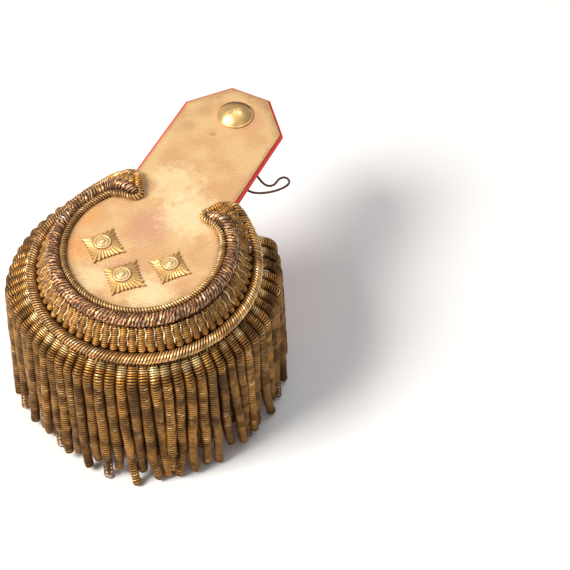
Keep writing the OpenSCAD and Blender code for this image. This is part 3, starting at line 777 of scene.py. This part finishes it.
def make_stars(colours):
    """Three stars: fans of rays round a ringed boss with a small dome.
    A ring's radius goes from the star's edge to the boss's in even shares of the way out."""
    mat = star_material(colours)
    count, thin = 280, 0.1
    a = np.arange(count) / count * 2 * math.pi
    ridge = 0.5 + 0.5 * np.cos(a * STAR_RAYS)
    # Painted light: highlights on the rays' crowns, shade between them, and shadow at the rim and by the boss
    edge, lit = star_edge(a), 0.3 + 0.5 * ridge
    rows = [(0.3 * edge, thin, 0), (0.98 * edge, thin, 0)]
    for f in np.linspace(1, 0, 14):
        shade = lit * (0.25 if f > 0.99 else 1) * (0.5 if f < 0.05 else 1)
        rows.append((BOSS_R + (edge - BOSS_R) * f, star_height(f, ridge), shade))
    rows += BOSS
    radius, height, shade = (np.array([np.broadcast_to(x, count) for x in part]) for part in zip(*rows))
    inward = np.concatenate([[0, 0], np.linspace(0, 1, 14), np.ones(len(BOSS))])[:, None]
    for k, (cx, cy, turn, size, aside) in enumerate(STARS):
        b = a + math.radians(turn)
        x = cx + radius * size * np.cos(b) + aside[0] * inward
        y = cy + radius * size * np.sin(b) + aside[1] * inward
        sheaf = Sheaf()
        sheaf.add(np.stack([x, y, height * size], -1), np.arange(len(radius)) / 10, shade)
        sheaf.build(f"embroidered_star_{k + 1}", f"star_{k + 1}", mat)


# The rolls


def gimp_relief(depth, lean, seed, low=0.9):
    """Turns of cord round a core: a rounded wave of the turn plus lean times the angle, of uneven depth."""

    def relief(t, turn, v):
        wave = np.abs(np.sin(math.pi * (turn + lean * v)))
        each = 0.75 + 0.5 * hash01(np.floor(turn + lean * v), seed)
        return depth * (wave**0.6 * each - low)

    return relief


def crinkle_relief(t, turn, v):
    """Crushed flat wire: slanted folds of uneven height across the roll, over slow swells."""
    warp = turn - ROLL_LEAN * v + 0.9 * noise1(t / 1.9 + 2 * np.sin(2 * math.pi * v), 3)
    fold = np.abs(np.sin(math.pi * warp))
    each = 0.3 + 0.7 * hash01(np.floor(warp), 5)
    return 0.6 * (fold**0.7 * each - 0.75) + 0.3 * (noise1(t / 4.5, 7) - 0.5)


def make_cords(sizes, colours):
    """The inner and the outer gimp cord."""
    pitch = sizes.gimp_pitch / MM
    for name, node, slot, row, end, shift, relief, step, sides, turn in (
        ("fine_gimp_cord", "inner_cord", "fine_gimp", INNER_ROW, INNER_END, INNER_SHIFT,
         gimp_relief(0.5, 2.0, 11, 0.6), 0.2, 20, pitch * 0.95),
        ("coarse_gimp_cord", "outer_cord", "coarse_gimp", OUTER_ROW, OUTER_END, OUTER_SHIFT,
         gimp_relief(0.6, -COARSE_LEAN, 13, 1.2), 0.28, 36, pitch),
    ):
        rows, t = crescent_route(row, end, shift, step)
        sheaf = Sheaf()
        wound_tube(sheaf, rows, t, sides, relief, pitch=turn)
        sheaf.build(name, node, wire_material(slot, colours))


def make_roll(sizes, colours):
    """The tarnished roll of crushed flat wire, with a dark tube between it and the inner cord at both ends
    that is painted shade.
    """
    rows, t = crescent_route(ROLL_ROW, ROLL_END, ROLL_SHIFT, 0.26)
    sheaf = Sheaf()
    wound_tube(sheaf, rows, t, 34, crinkle_relief, pitch=sizes.roll_pitch / MM)
    # Dark tubes between the roll and the inner cord: painted shade
    for sign in (-1, 1):
        shade_tube, t = resample(ease_route(side_end(SHADE_TUBE_END, SHADE_TUBE_SHIFT, sign), 6), 0.4)
        wound_tube(sheaf, shade_tube, t, 16, shade=0.0)
    sheaf.build("tarnished_roll", "dark_roll", wire_material("tarnished_wire", colours))


# The bars


def bar_ends(roll, cord, sink_roll, sink_cord):
    """Both ends of a bar: on the line between its rows, clear of both rolls and sunk below that line."""
    along = unit(cord[:3] - roll[:3])
    side = unit(np.cross([0, 0, 1.0], along))
    below = np.cross(along, side)
    down = below if below[2] < 0 else -below
    start = roll[:3] + along * (roll[3] + BAR_GAP_ROLL) + down * sink_roll
    end = cord[:3] - along * (cord[3] + BAR_GAP_CORD) + down * sink_cord
    return start, end, down


def all_bars():
    """Every bar's ends and its way down: those of the left end, of the round part and of the right end.
    The left end's bars are worked out on the right and mirrored."""
    middle = []
    for i in range(BAR_COUNT):
        a = 2 * ROUND_A * ((i + 0.5) / BAR_COUNT - 0.5)
        roll, cord = (roll_rows(a, *row) for row in (ROLL_ROW, OUTER_ROW))
        middle.append(bar_ends(roll, cord, BAR_SINK_ROLL, BAR_SINK_CORD))

    def short_bars(rolls, cords):
        roll, cord = (roll_rows(ROUND_A, *row) for row in (ROLL_ROW, OUTER_ROW))
        first = (roll + (rolls[0] - roll) * FIRST_ROLL, cord + (cords[0] - cord) * FIRST_CORD)
        return [bar_ends(r, c, s, s * 1.5) for (r, c), s in zip([first, *zip(rolls, cords)], END_SINK)]

    right = short_bars(np.array(ROLL_END), np.array(OUTER_END))
    left = short_bars(nearer(ROLL_END, ROLL_SHIFT), nearer(OUTER_END, OUTER_SHIFT))[::-1]
    return [[point * np.array([-1.0, 1, 1]) for point in bar] for bar in left], middle, right


def add_bar(sheaf, start, end, down, seed, width):
    """A plump bar: a tube thickest in its middle, wound finely, with a round outer end in a lighter shade."""
    width = width * (0.94 + 0.12 * hash01(seed, 23))
    span = np.linalg.norm(end - start)
    length = span + width / 2 + 0.7 * (hash01(seed, 25) - 0.5)
    x = np.linspace(0, length / span, 40)[:, None]
    rows, t = with_radius(start + (end - start) * x, width / 2, 0.27)

    def relief(s, turn, v):
        plump = 0.18 * np.sin(math.pi * s / t[-1]) + 0.14 * (noise1(s / 1.9, seed) - 0.5)
        return plump - 0.14 + 0.14 * np.abs(np.sin(math.pi * (turn + v)))

    shade = 0.32 + 0.3 * hash01(seed, 21) + 0.45 * ramp(t / t[-1], 0.72, 0.2)
    wound_tube(sheaf, rows, t, 14, relief, up=-down, shade=shade, along=t / BAR_PITCH + 50.0 * seed)


def add_purl(sheaf, start, end, down, seed, width):
    """A bright twisted thread in the groove between two bars: a thin tube on a loose helix."""
    x = np.linspace(0.03, 0.94 - 0.12 * hash01(seed, 37), 46)
    side = unit(np.cross(unit(end - start), down))
    turn = 2 * math.pi * (x * np.linalg.norm(end - start) / PURL_REACH + hash01(seed, 31))[:, None]
    centre = start + (end - start) * x[:, None] - down * (0.95 + 0.5 * (hash01(seed, 35) - 0.5))
    rows, t = with_radius(centre + 0.34 * (np.cos(turn) * side - np.sin(turn) * down), width / 2, 0.3)
    wound_tube(sheaf, rows, t, 8, lambda s, turn, v: 0.1 * np.sin(2 * math.pi * (turn + v)), up=-down,
               shade=0.13 + 0.75 * hash01(seed, 33) ** 1.5, along=t / PURL_PITCH + 50.0 * seed)


def make_bars(sizes, colours):
    """The padded base with its plump bars, the short bars at both ends, and the bright purl between them.
    The base and the cores under the short bars are dark, as painted shade in the gaps.
    """
    mat = wire_material("matt_bullion", colours)
    width = sizes.bar_width / MM
    left, middle, right = all_bars()
    sheaf = Sheaf()
    # The base in the darkest shade: painted shade between the bars
    swept_ring(sheaf, PAD, ROUND_A + 5, 132, 0.0)
    # A dark tube under the bars' outer ends: painted shade in the gaps
    shade_tube, t = resample(round_rows(SHADE_TUBE_ROW), 1.0)
    wound_tube(sheaf, shade_tube, t, 10, shade=0.0)
    for i, bar in enumerate(middle):
        add_bar(sheaf, *bar, i, width)
    sheaf.build("padded_bars", "bar_band", mat)
    for which, bars, sign, seed in (("left", left, -1, 100), ("right", right, 1, 200)):
        sheaf = Sheaf()
        # The core under the short bars, dark as painted shade in their gaps
        core, t = resample(ease_route(side_end(CORE_END, CORE_SHIFT, sign), 8), 0.5)
        wound_tube(sheaf, core, t, 20, pitch=0.8, shade=0.1)
        cap, t = resample(ease_route(side_end(CAP_END, CAP_SHIFT, sign), 8), 0.25)
        wound_tube(sheaf, cap, t, 22, gimp_relief(0.4, 1.0, 17), shade=0.7, pitch=1.3)
        for i, bar in enumerate(bars):
            add_bar(sheaf, *bar, seed + i, width)
        sheaf.build(f"end_bars_{which}_wound", f"end_bars_{which}", mat)
    sheaf = Sheaf()
    bars = left + middle + right
    for i, ((s, e, d), (s_next, e_next, d_next)) in enumerate(zip(bars, bars[1:])):
        add_purl(sheaf, (s + s_next) / 2, (e + e_next) / 2, unit(d + d_next), i, sizes.purl_d / MM)
    sheaf.build("bright_purl", "bar_band", wire_material("bright_purl", colours))


# The fringe


def shorter(i, row):
    """How much shorter than the longest a strand is."""
    return 0.0 if i % 5 == 2 else RAGGED * hash01(i, row) ** 1.5


def swayed(flat, a, side, out):
    """A line in the upright plane at angle a from the front, moved sideways and outwards, as a tube's rows."""
    ca, sa = math.cos(a), math.sin(a)
    r = flat[:, 0] + out
    rho = np.full(len(flat), STRAND_D / 2)
    return np.stack([r * sa + side * ca, -r * ca + side * sa, flat[:, 1], rho], -1)


def outer_rows(i, sway):
    """An outer strand's rows: out and down from the head, round an arc, and down to its own length.
    It sways sideways with its neighbours by slow noise of its number, waves a little on its own, hangs in
    or out by turns, and is thinner below. Strands on the right reach further round. A few tips are kicked."""
    a = STRAND_A * ((i + 0.5) / OUTER_STRANDS - 0.5)
    right = ramp(a, 40, 50)
    a += RIGHT_REACH * ramp(a, 80, 51) ** 1.5
    top = OUTER_Z + np.interp(abs(a), *zip(*CORD_LIFT))
    bulge = np.interp(a, *zip(*OUTWARD))
    slope, lean = math.radians(STRAND_SLOPE), math.radians(FLARE_A - 0.1 * bulge - RIGHT_STRAIGHTER * right)
    start = np.array([OUTER_R + STRAND_FROM[0], top + STRAND_FROM[1]])
    away = np.array([math.cos(slope), -math.sin(slope)])
    down = np.array([math.sin(lean), -math.cos(lean)])
    straight = STRAND_STRAIGHT + bulge / math.cos(slope)
    bend = start + straight * away
    cut = TURN_R * math.tan((math.pi / 2 - slope - lean) / 2)
    tip_z = -BOARD_H + STRAND_D / 2 * math.sin(lean) + FLOOR_GAP
    drop = (bend[1] - tip_z) / math.cos(lean) - shorter(i, 1)
    u = np.linspace(0, 1, 12)[1:, None]
    p0, p2 = bend - away * cut, bend + down * cut
    flat = np.concatenate([
        start + away * np.linspace(0, straight - cut, 10)[:, None],
        (1 - u) ** 2 * p0 + 2 * u * (1 - u) * bend + u**2 * p2,
        p2 + down * np.linspace(0, drop - cut, 44)[1:, None],
    ])
    fall = ramp(-flat[:, 1], -p2[1], p2[1] - tip_z)
    near = np.clip((a + 126) / 15, 0.2, 1) * np.clip((131 - a) / 15, 0.2, 1)
    clump = 2 * noise1(i / 2.6, 41) - 1 + 0.5 * (hash01(i, 45) - 0.5)
    bends = noise1(fall * 4.5 + 3.7 * i, 47) - 0.5
    side = sway * near * clump * fall**1.3 + 2.0 * bends * fall**0.6
    out = (HANG_OUT if i % 2 else HANG_IN) * fall + 1.4 * (hash01(i, 43) - 0.6) * fall**2
    kick_side, kick_out = KICKS.get(i, (0, 0))
    end = ramp(fall, 0.72, 0.28) ** 2
    rows = swayed(flat, math.radians(a), side + kick_side * end, out + kick_out * end)
    rows[:, 3] *= 1 - THINNER * ramp(fall, 0.5, 0.4)
    return rows


def inner_rows(i, sway):
    """An inner strand's rows, straight down and a little outwards from the head's underside."""
    a = math.radians(INNER_ROW_A * ((i + 0.5) / INNER_STRANDS - 0.5))
    lean = math.radians(INNER_FLARE_A)
    tip_z = -BOARD_H + STRAND_D / 2 * math.sin(lean)
    drop = (INNER_ROW_TOP - tip_z) / math.cos(lean) - INNER_RAISE - shorter(i, 2)
    x = np.linspace(0, drop, 30)
    fall = x / drop
    flat = np.stack([INNER_ROW_R + x * math.sin(lean), INNER_ROW_TOP - x * math.cos(lean)], -1)
    side = sway * (2 * noise1(i / 2.2, 61) - 1) * fall**1.3
    return swayed(flat, a, side, -0.8 * hash01(i, 63) * fall)


def strand_turns(length, top_pitch, pitch):
    """The turn at each length down a strand: turns of the top's pitch that give way to those of the other.
    It is the running sum of the step over the pitch."""
    t = np.linspace(0, length, 400)
    ease = ramp(t, EVEN_TOP, EASE_TOP)
    pitch = top_pitch + (pitch - top_pitch) * ease * ease * (3 - 2 * ease)
    return t, np.concatenate([[0], np.cumsum(np.diff(t) / ((pitch[1:] + pitch[:-1]) / 2))])


def add_strand(sheaf, line, seed, pitches, sides, per_turn, shade, bright=1.0):
    """A strand of bullion: rings at even parts of each turn, with bright coils on top and darker ones towards
    the end.
    The surface is a wave of the turn, over slow lumps and a rough tip."""
    rows, t = resample(line, 0.4)
    length, turns = strand_turns(t[-1], *pitches)
    along = np.append(np.arange(0, turns[-1], 1 / per_turn), turns[-1])
    at = np.interp(along, turns, length)
    rows = np.stack([np.interp(at, t, column) for column in rows.T], -1)
    top = bright * (1 - ramp(at, BRIGHT_TOP - FADE_TOP, FADE_TOP))
    tip, low = (ramp(at, at[-1] - end, end) for end in (ROUGH_END, DARK_END))
    depth = (TURN_DEPTH - 0.02 * top)[:, None]
    plump = 0.12 + PLUMPER * (hash01(seed, 57) - 0.5)

    def relief(s, turn, v):
        wave = np.abs(np.sin(math.pi * (turn + v))) ** 0.8
        rough = tip[:, None] * (noise1(s / 1.3 + 3 * v, seed + 9) - 0.6)
        lumps = LUMP_DEPTH * (noise1(s / 4.0, seed) - 0.5) + rough
        return depth * (wave - 0.5) + lumps + plump

    lit = np.clip(shade * (1 - 0.35 * tip) * (1 - 0.3 * low) + 0.55 * top, 0.13, 1.1)
    up = (-line[-1, 1], line[-1, 0], 0.0)
    wound_tube(sheaf, rows, at, sides, relief, up=up, shade=lit, along=along + 200.0 * seed, blunt=0.8)


def add_loose_wire(sheaf, line, seed):
    """Wire that has come undone round a strand's thin end: a tube on a helix about its middle line."""
    rows, t = resample(line, 0.25)
    some = t > t[-1] - LOOSE_WIRE
    rows, t = rows[some], t[some] - t[-1] + LOOSE_WIRE
    turn = 2 * math.pi * (t / LOOSE_PITCH + hash01(seed, 81))[:, None]
    ahead = unit(np.gradient(rows[:, :3], axis=0))
    side = unit(np.cross(ahead, np.array([line[-1, 0], line[-1, 1], 0.0])))
    over = np.cross(side, ahead)
    radius = (STRAND_D / 2 - 0.1 + 0.25 * (noise1(t / 2.0, seed) - 0.5))[:, None]
    rows, t = with_radius(rows[:, :3] + radius * (np.cos(turn) * side + np.sin(turn) * over), LOOSE_R, 0.6)
    wound_tube(sheaf, rows, t, 6, shade=0.8)


def make_fringe(sizes, colours):
    """Both rows of bullion strands, and the ring-shaped head that they are sewn to."""
    wire = wire_material("fringe_bullion", colours)
    sway, pitch = sizes.sway / MM, sizes.strand_pitch / MM
    half = OUTER_STRANDS // 2
    for which, numbers in (("left", range(half)), ("right", range(half, OUTER_STRANDS))):
        sheaf = Sheaf()
        for i in numbers:
            line = outer_rows(i, sway)
            if i in UNDONE:
                left = np.linspace(1, 1 / len(line), len(line))
                line[:, 3] *= 1 - 0.62 * ramp(-left, -0.16, 0.05)
            add_strand(sheaf, line, i, (sizes.top_pitch / MM, pitch), 12, 4, 0.2 + 0.45 * hash01(i, 51))
            if i in UNDONE:
                add_loose_wire(sheaf, line, i)
        sheaf.build(f"bullion_fringe_{which}", "fringe", wire)
    sheaf = Sheaf()
    # The head and the inner row in a low shade: painted shade inside the fringe
    swept_ring(sheaf, HEAD, STRAND_A / 2, 144, 0.13)
    for i in range(INNER_STRANDS):
        shade = 0.15 + 0.2 * hash01(i, 53)
        add_strand(sheaf, inner_rows(i, sway), i + 70, (pitch, pitch), 10, 2, shade, bright=0.0)
    sheaf.build("bullion_fringe_inner", "fringe", wire)


# The tie


def make_tie(colours):
    """The thin brown tie, a free cord that goes back in under the strap: two strands twisted together."""
    rows, t = with_radius(ease_route(TIE_ROUTE, 6), TIE_D / 2, 0.35)
    p = rows[:, :3]
    ahead = unit(np.gradient(p, axis=0))
    across = np.zeros_like(p)
    u = unit(np.cross(ahead[0], [0, 1.0, 0]))
    for i in range(len(p)):
        u = unit(u - (u @ ahead[i]) * ahead[i])
        across[i] = u
    ang = 2 * math.pi * np.arange(TIE_SIDES) / TIE_SIDES
    r = TIE_D / 2 - 0.05 + 0.06 * np.cos(2 * (ang[None, :] - t[:, None] * 2.2))
    sheaf = Sheaf()
    sheaf.add(rings_round(p, r, ang, across, np.cross(ahead, across)), t, 0.5, poles=(p[0], p[-1]))
    obj = sheaf.build("brown_tie", "tie_loop", thread_material(colours))


# The stage


def make_stage(stage):
    """A pale floor, soft studio lights and the camera at the photograph's angle."""
    scene = bpy.context.scene
    scene.view_settings.view_transform = "Standard"
    world = bpy.data.worlds.new("studio")
    world.use_nodes = True
    back = world.node_tree.nodes["Background"].inputs
    back["Color"].default_value = (1, 1, 1, 1)
    back["Strength"].default_value = stage.sky
    scene.world = world
    mesh = bpy.data.meshes.new("pale_floor")
    s = FLOOR_HALF
    mesh.from_pydata([(-s, -s, 0), (s, -s, 0), (s, s, 0), (-s, s, 0)], [], [(0, 1, 2, 3)])
    mat, nodes = start_material("pale_floor")
    nodes.feed_all(nodes.tree.nodes["Principled BSDF"].inputs, {"Base Color": (0.95,) * 3, "Roughness": 0.9})
    mesh.materials.append(mat)
    floor = bpy.data.objects.new("pale_floor", mesh)
    scene.collection.objects.link(floor)
    for name, (at, size, colour) in LAMPS.items():
        lamp = bpy.data.lights.new(name + "_light", "AREA")
        lamp.size, lamp.energy, lamp.color = size, getattr(stage, name + "_power"), colour
        obj = bpy.data.objects.new(name + "_light", lamp)
        obj.location = at
        obj.rotation_euler = (Vector(LAMP_AIM) - Vector(at)).to_track_quat("-Z", "Y").to_euler()
        scene.collection.objects.link(obj)
    az, el = stage.camera_turn, stage.camera_height
    back_way = Vector((math.sin(az) * math.cos(el), -math.cos(az) * math.cos(el), math.sin(el)))
    data = bpy.data.cameras.new("camera")
    data.sensor_width = 36.0
    data.lens = data.sensor_width / 2 / math.tan(stage.picture_angle / 2)
    cam = bpy.data.objects.new("camera", data)
    cam.location = Vector(place(CAM_AT)) + back_way * stage.camera_far
    cam.rotation_euler = (-back_way).to_track_quat("-Z", "Y").to_euler()
    scene.collection.objects.link(cam)
    scene.camera = cam


# The add-on: what a user may change, one operator for each piece, and a panel


def number(name, description, default, **kind):
    """A number that a user may change."""
    return bpy.props.FloatProperty(name=name, description=description, default=default, min=0.0, **kind)


def length(name, description, default):
    """A length that a user may change, in metres."""
    return number(name, description, default, unit="LENGTH", precision=5)


def angle(name, description, degrees):
    """An angle that a user may change."""
    return number(name, description, math.radians(degrees), subtype="ANGLE")


def paint(name, description, default):
    """A colour that a user may change."""
    return bpy.props.FloatVectorProperty(
        name=name, description=description, subtype="COLOR", size=3, min=0.0, max=1.0, default=default)


class EpauletteSizes(bpy.types.PropertyGroup):
    """Sizes of the windings and the fringe."""

    gimp_pitch: length("Gimp pitch", "Distance between two turns of the outer gimp cord", 0.00165)
    roll_pitch: length("Roll pitch", "Distance between two turns of the tarnished roll", 0.0019)
    bar_width: length("Bar width", "Thickness of a plump bar", 0.0038)
    purl_d: length("Purl thickness", "Thickness of the bright thread between two bars", 0.0012)
    strand_pitch: length("Strand pitch", "Distance between two turns of a strand", 0.0019)
    top_pitch: length("Top pitch", "Distance between the turns at a strand's top", 0.00125)
    sway: length("Sway", "How far the strands' tips wander sideways in clumps", 0.0042)


class EpauletteColours(bpy.types.PropertyGroup):
    """Colours of the cloth, the lace and the metal threads."""

    scarlet: paint("Scarlet", "Cloth of the board", (0.78, 0.018, 0.014))
    scarlet_worn: paint("Worn scarlet", "Cloth where it is rubbed", (0.6, 0.02, 0.02))
    lace: paint("Lace", "Pale gold of the lace", (0.77, 0.495, 0.23))
    lace_worn: paint("Worn lace", "Lace where its gilding is thin", (0.66, 0.35, 0.16))
    # Painted highlights on the ribs' crowns, and painted shade in the grooves between them
    lace_light: paint("Light lace", "Crowns of the lace's ribs", (1.0, 0.78, 0.46))
    lace_groove: paint("Lace grooves", "Between the lace's ribs", (0.36, 0.17, 0.06))
    lace_pink: paint("Pinkish lace", "Copper that shows through", (0.66, 0.34, 0.2))
    # Painted reflection of the red cloth on the lace
    lace_cloth_reflection: paint("Orange lace", "Red cloth that shines on the lace", (0.74, 0.30, 0.08))
    lace_cream: paint("Cream lace", "Lace that kept its colour", (0.97, 0.75, 0.43))
    # Grime on handled places, and painted shade near the lace's edge
    lace_grime_and_shade: paint("Dirt", "Handled places", (0.22, 0.11, 0.045))
    button: paint("Button", "Gilding of the button", (1.0, 0.68, 0.3))
    button_worn: paint("Worn button", "Button where its gilding is thin", (0.86, 0.48, 0.14))
    # Painted dark reflection on the button's dome
    button_dark_reflection: paint("Dull button", "Button where it is tarnished", (0.15, 0.062, 0.014))
    star: paint("Stars", "Gilding of the stars", (0.74, 0.44, 0.15))
    # Painted highlights on the rays' crowns
    star_bright: paint("Bright stars", "Crowns of the rays", (1.0, 0.78, 0.46))
    star_worn: paint("Worn stars", "Stars where they are dull", (0.6, 0.32, 0.1))
    # Painted shade between the rays and at the rim
    star_dark: paint("Star shadow", "Between the rays", (0.34, 0.14, 0.045))
    # Wires: bright colours are painted highlights on the turns' crowns; dark ones are painted shade and
    # tarnish
    fine_base: paint("Fine gimp", "Inner cord", (0.66, 0.36, 0.11))
    fine_bright: paint("Bright fine gimp", "Crowns of its turns", (1.0, 0.80, 0.45))
    fine_dark: paint("Dark fine gimp", "Between its turns", (0.09, 0.04, 0.012))
    coarse_base: paint("Coarse gimp", "Outer cord", (0.95, 0.465, 0.12))
    coarse_bright: paint("Bright coarse gimp", "Crowns of its turns", (1.0, 0.84, 0.55))
    coarse_dark: paint("Dark coarse gimp", "Between its turns", (0.07, 0.03, 0.012))
    roll_base: paint("Roll", "Tarnished wire", (0.78, 0.36, 0.13))
    roll_bright: paint("Bright roll", "Folds that catch the light", (1.0, 0.82, 0.62))
    roll_dark: paint("Dark roll", "Between the folds", (0.06, 0.022, 0.012))
    bar_base: paint("Bars", "Matt bullion of the bars", (0.55, 0.235, 0.026))
    bar_bright: paint("Bright bars", "Crowns of their turns", (0.92, 0.56, 0.18))
    bar_dark: paint("Dark bars", "Between their turns and round them", (0.10, 0.038, 0.014))
    purl_base: paint("Purl", "Bright thread between the bars", (0.86, 0.56, 0.26))
    purl_bright: paint("Bright purl", "Its glints", (1.0, 0.88, 0.66))
    purl_dark: paint("Dark purl", "Between its turns", (0.25, 0.12, 0.05))
    fringe_base: paint("Fringe", "Bullion strands", (0.57, 0.228, 0.014))
    fringe_bright: paint("Bright fringe", "Crowns of their turns", (1.0, 0.76, 0.38))
    fringe_dark: paint("Dark fringe", "Between their turns", (0.022, 0.007, 0.002))
    tie: paint("Tie", "Brown thread", (0.075, 0.03, 0.017))
    tie_worn: paint("Worn tie", "Its lighter threads", (0.2, 0.09, 0.045))


class EpauletteStage(bpy.types.PropertyGroup):
    """The camera's place and the lights."""

    camera_turn: angle("Turn", "Camera's turn to the right of the front", CAM_AZ)
    camera_height: angle("Height", "Camera's angle above the floor", CAM_EL)
    picture_angle: angle("Picture angle", "Angle from side to side", CAM_ANGLE)
    camera_far: length("Distance", "From the camera to the middle of the picture", CAM_DIST * MM)
    sky: number("Sky", "Strength of the light from all round", 0.24)
    key_power: number("Key light", "Large light at the front left", 48.0, unit="POWER")
    fill_power: number("Fill light", "Light at the right", 2.0, unit="POWER")
    top_power: number("Top light", "Light above and behind", 9.0, unit="POWER")


class EPAULETTE_OT_stage(bpy.types.Operator):
    """Builds the floor, the lights and the camera"""

    bl_idname = "epaulette.stage"
    bl_label = "Stage"

    def execute(self, context):
        make_stage(context.scene.epaulette_stage)
        return {"FINISHED"}


class EPAULETTE_OT_tie(bpy.types.Operator):
    """Builds the brown tie beside the strap"""

    bl_idname = "epaulette.tie"
    bl_label = "Tie"

    def execute(self, context):
        make_tie(context.scene.epaulette_colours)
        return {"FINISHED"}


class EPAULETTE_OT_board(bpy.types.Operator):
    """Builds the scarlet board and its gold lace"""

    bl_idname = "epaulette.board"
    bl_label = "Board and lace"

    def execute(self, context):
        make_board(context.scene.epaulette_colours)
        return {"FINISHED"}


class EPAULETTE_OT_button(bpy.types.Operator):
    """Builds the domed button"""

    bl_idname = "epaulette.button"
    bl_label = "Button"

    def execute(self, context):
        make_button(context.scene.epaulette_colours)
        return {"FINISHED"}


class EPAULETTE_OT_stars(bpy.types.Operator):
    """Builds the three embroidered stars"""

    bl_idname = "epaulette.stars"
    bl_label = "Stars"

    def execute(self, context):
        make_stars(context.scene.epaulette_colours)
        return {"FINISHED"}


class EPAULETTE_OT_cords(bpy.types.Operator):
    """Builds the inner and the outer gimp cord"""

    bl_idname = "epaulette.cords"
    bl_label = "Gimp cords"

    def execute(self, context):
        make_cords(context.scene.epaulette_sizes, context.scene.epaulette_colours)
        return {"FINISHED"}


class EPAULETTE_OT_roll(bpy.types.Operator):
    """Builds the tarnished roll"""

    bl_idname = "epaulette.roll"
    bl_label = "Tarnished roll"

    def execute(self, context):
        make_roll(context.scene.epaulette_sizes, context.scene.epaulette_colours)
        return {"FINISHED"}


class EPAULETTE_OT_bars(bpy.types.Operator):
    """Builds the padded base, its bars and the purl between them"""

    bl_idname = "epaulette.bars"
    bl_label = "Padded bars"

    def execute(self, context):
        make_bars(context.scene.epaulette_sizes, context.scene.epaulette_colours)
        return {"FINISHED"}


class EPAULETTE_OT_fringe(bpy.types.Operator):
    """Builds both rows of the bullion fringe"""

    bl_idname = "epaulette.fringe"
    bl_label = "Bullion fringe"

    def execute(self, context):
        make_fringe(context.scene.epaulette_sizes, context.scene.epaulette_colours)
        return {"FINISHED"}


OPERATORS = (
    EPAULETTE_OT_stage, EPAULETTE_OT_tie, EPAULETTE_OT_board, EPAULETTE_OT_button, EPAULETTE_OT_stars,
    EPAULETTE_OT_cords, EPAULETTE_OT_roll, EPAULETTE_OT_bars, EPAULETTE_OT_fringe,
)
GROUPS = {
    "epaulette_sizes": EpauletteSizes, "epaulette_colours": EpauletteColours,
    "epaulette_stage": EpauletteStage,
}


class EPAULETTE_PT_panel(bpy.types.Panel):
    """Lists the pieces of the epaulette and what can be changed"""

    bl_idname = "EPAULETTE_PT_panel"
    bl_label = "Dress epaulette"
    bl_space_type = "VIEW_3D"
    bl_region_type = "UI"
    bl_category = "Epaulette"

    def draw(self, context):
        for operator in OPERATORS:
            self.layout.operator(operator.bl_idname)
        for name, kind in GROUPS.items():
            box = self.layout.box()
            for label in kind.__annotations__:
                box.prop(getattr(context.scene, name), label)


CLASSES = (*GROUPS.values(), *OPERATORS, EPAULETTE_PT_panel)


def register():
    """Registers the values, the operators and the panel."""
    for kind in CLASSES:
        bpy.utils.register_class(kind)
    for name, kind in GROUPS.items():
        setattr(bpy.types.Scene, name, bpy.props.PointerProperty(type=kind))


def unregister():
    """Takes them out again, in the other order."""
    for name in GROUPS:
        delattr(bpy.types.Scene, name)
    for kind in CLASSES[::-1]:
        bpy.utils.unregister_class(kind)


def main():
    """Registers the add-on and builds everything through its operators."""
    register()
    winding_group()
    patch_group()
    stain_reflection_group()
    for step in ("stage", "tie", "board", "button", "stars", "cords", "roll", "bars", "fringe"):
        getattr(bpy.ops.epaulette, step)()


if __name__ == "__main__":
    main()
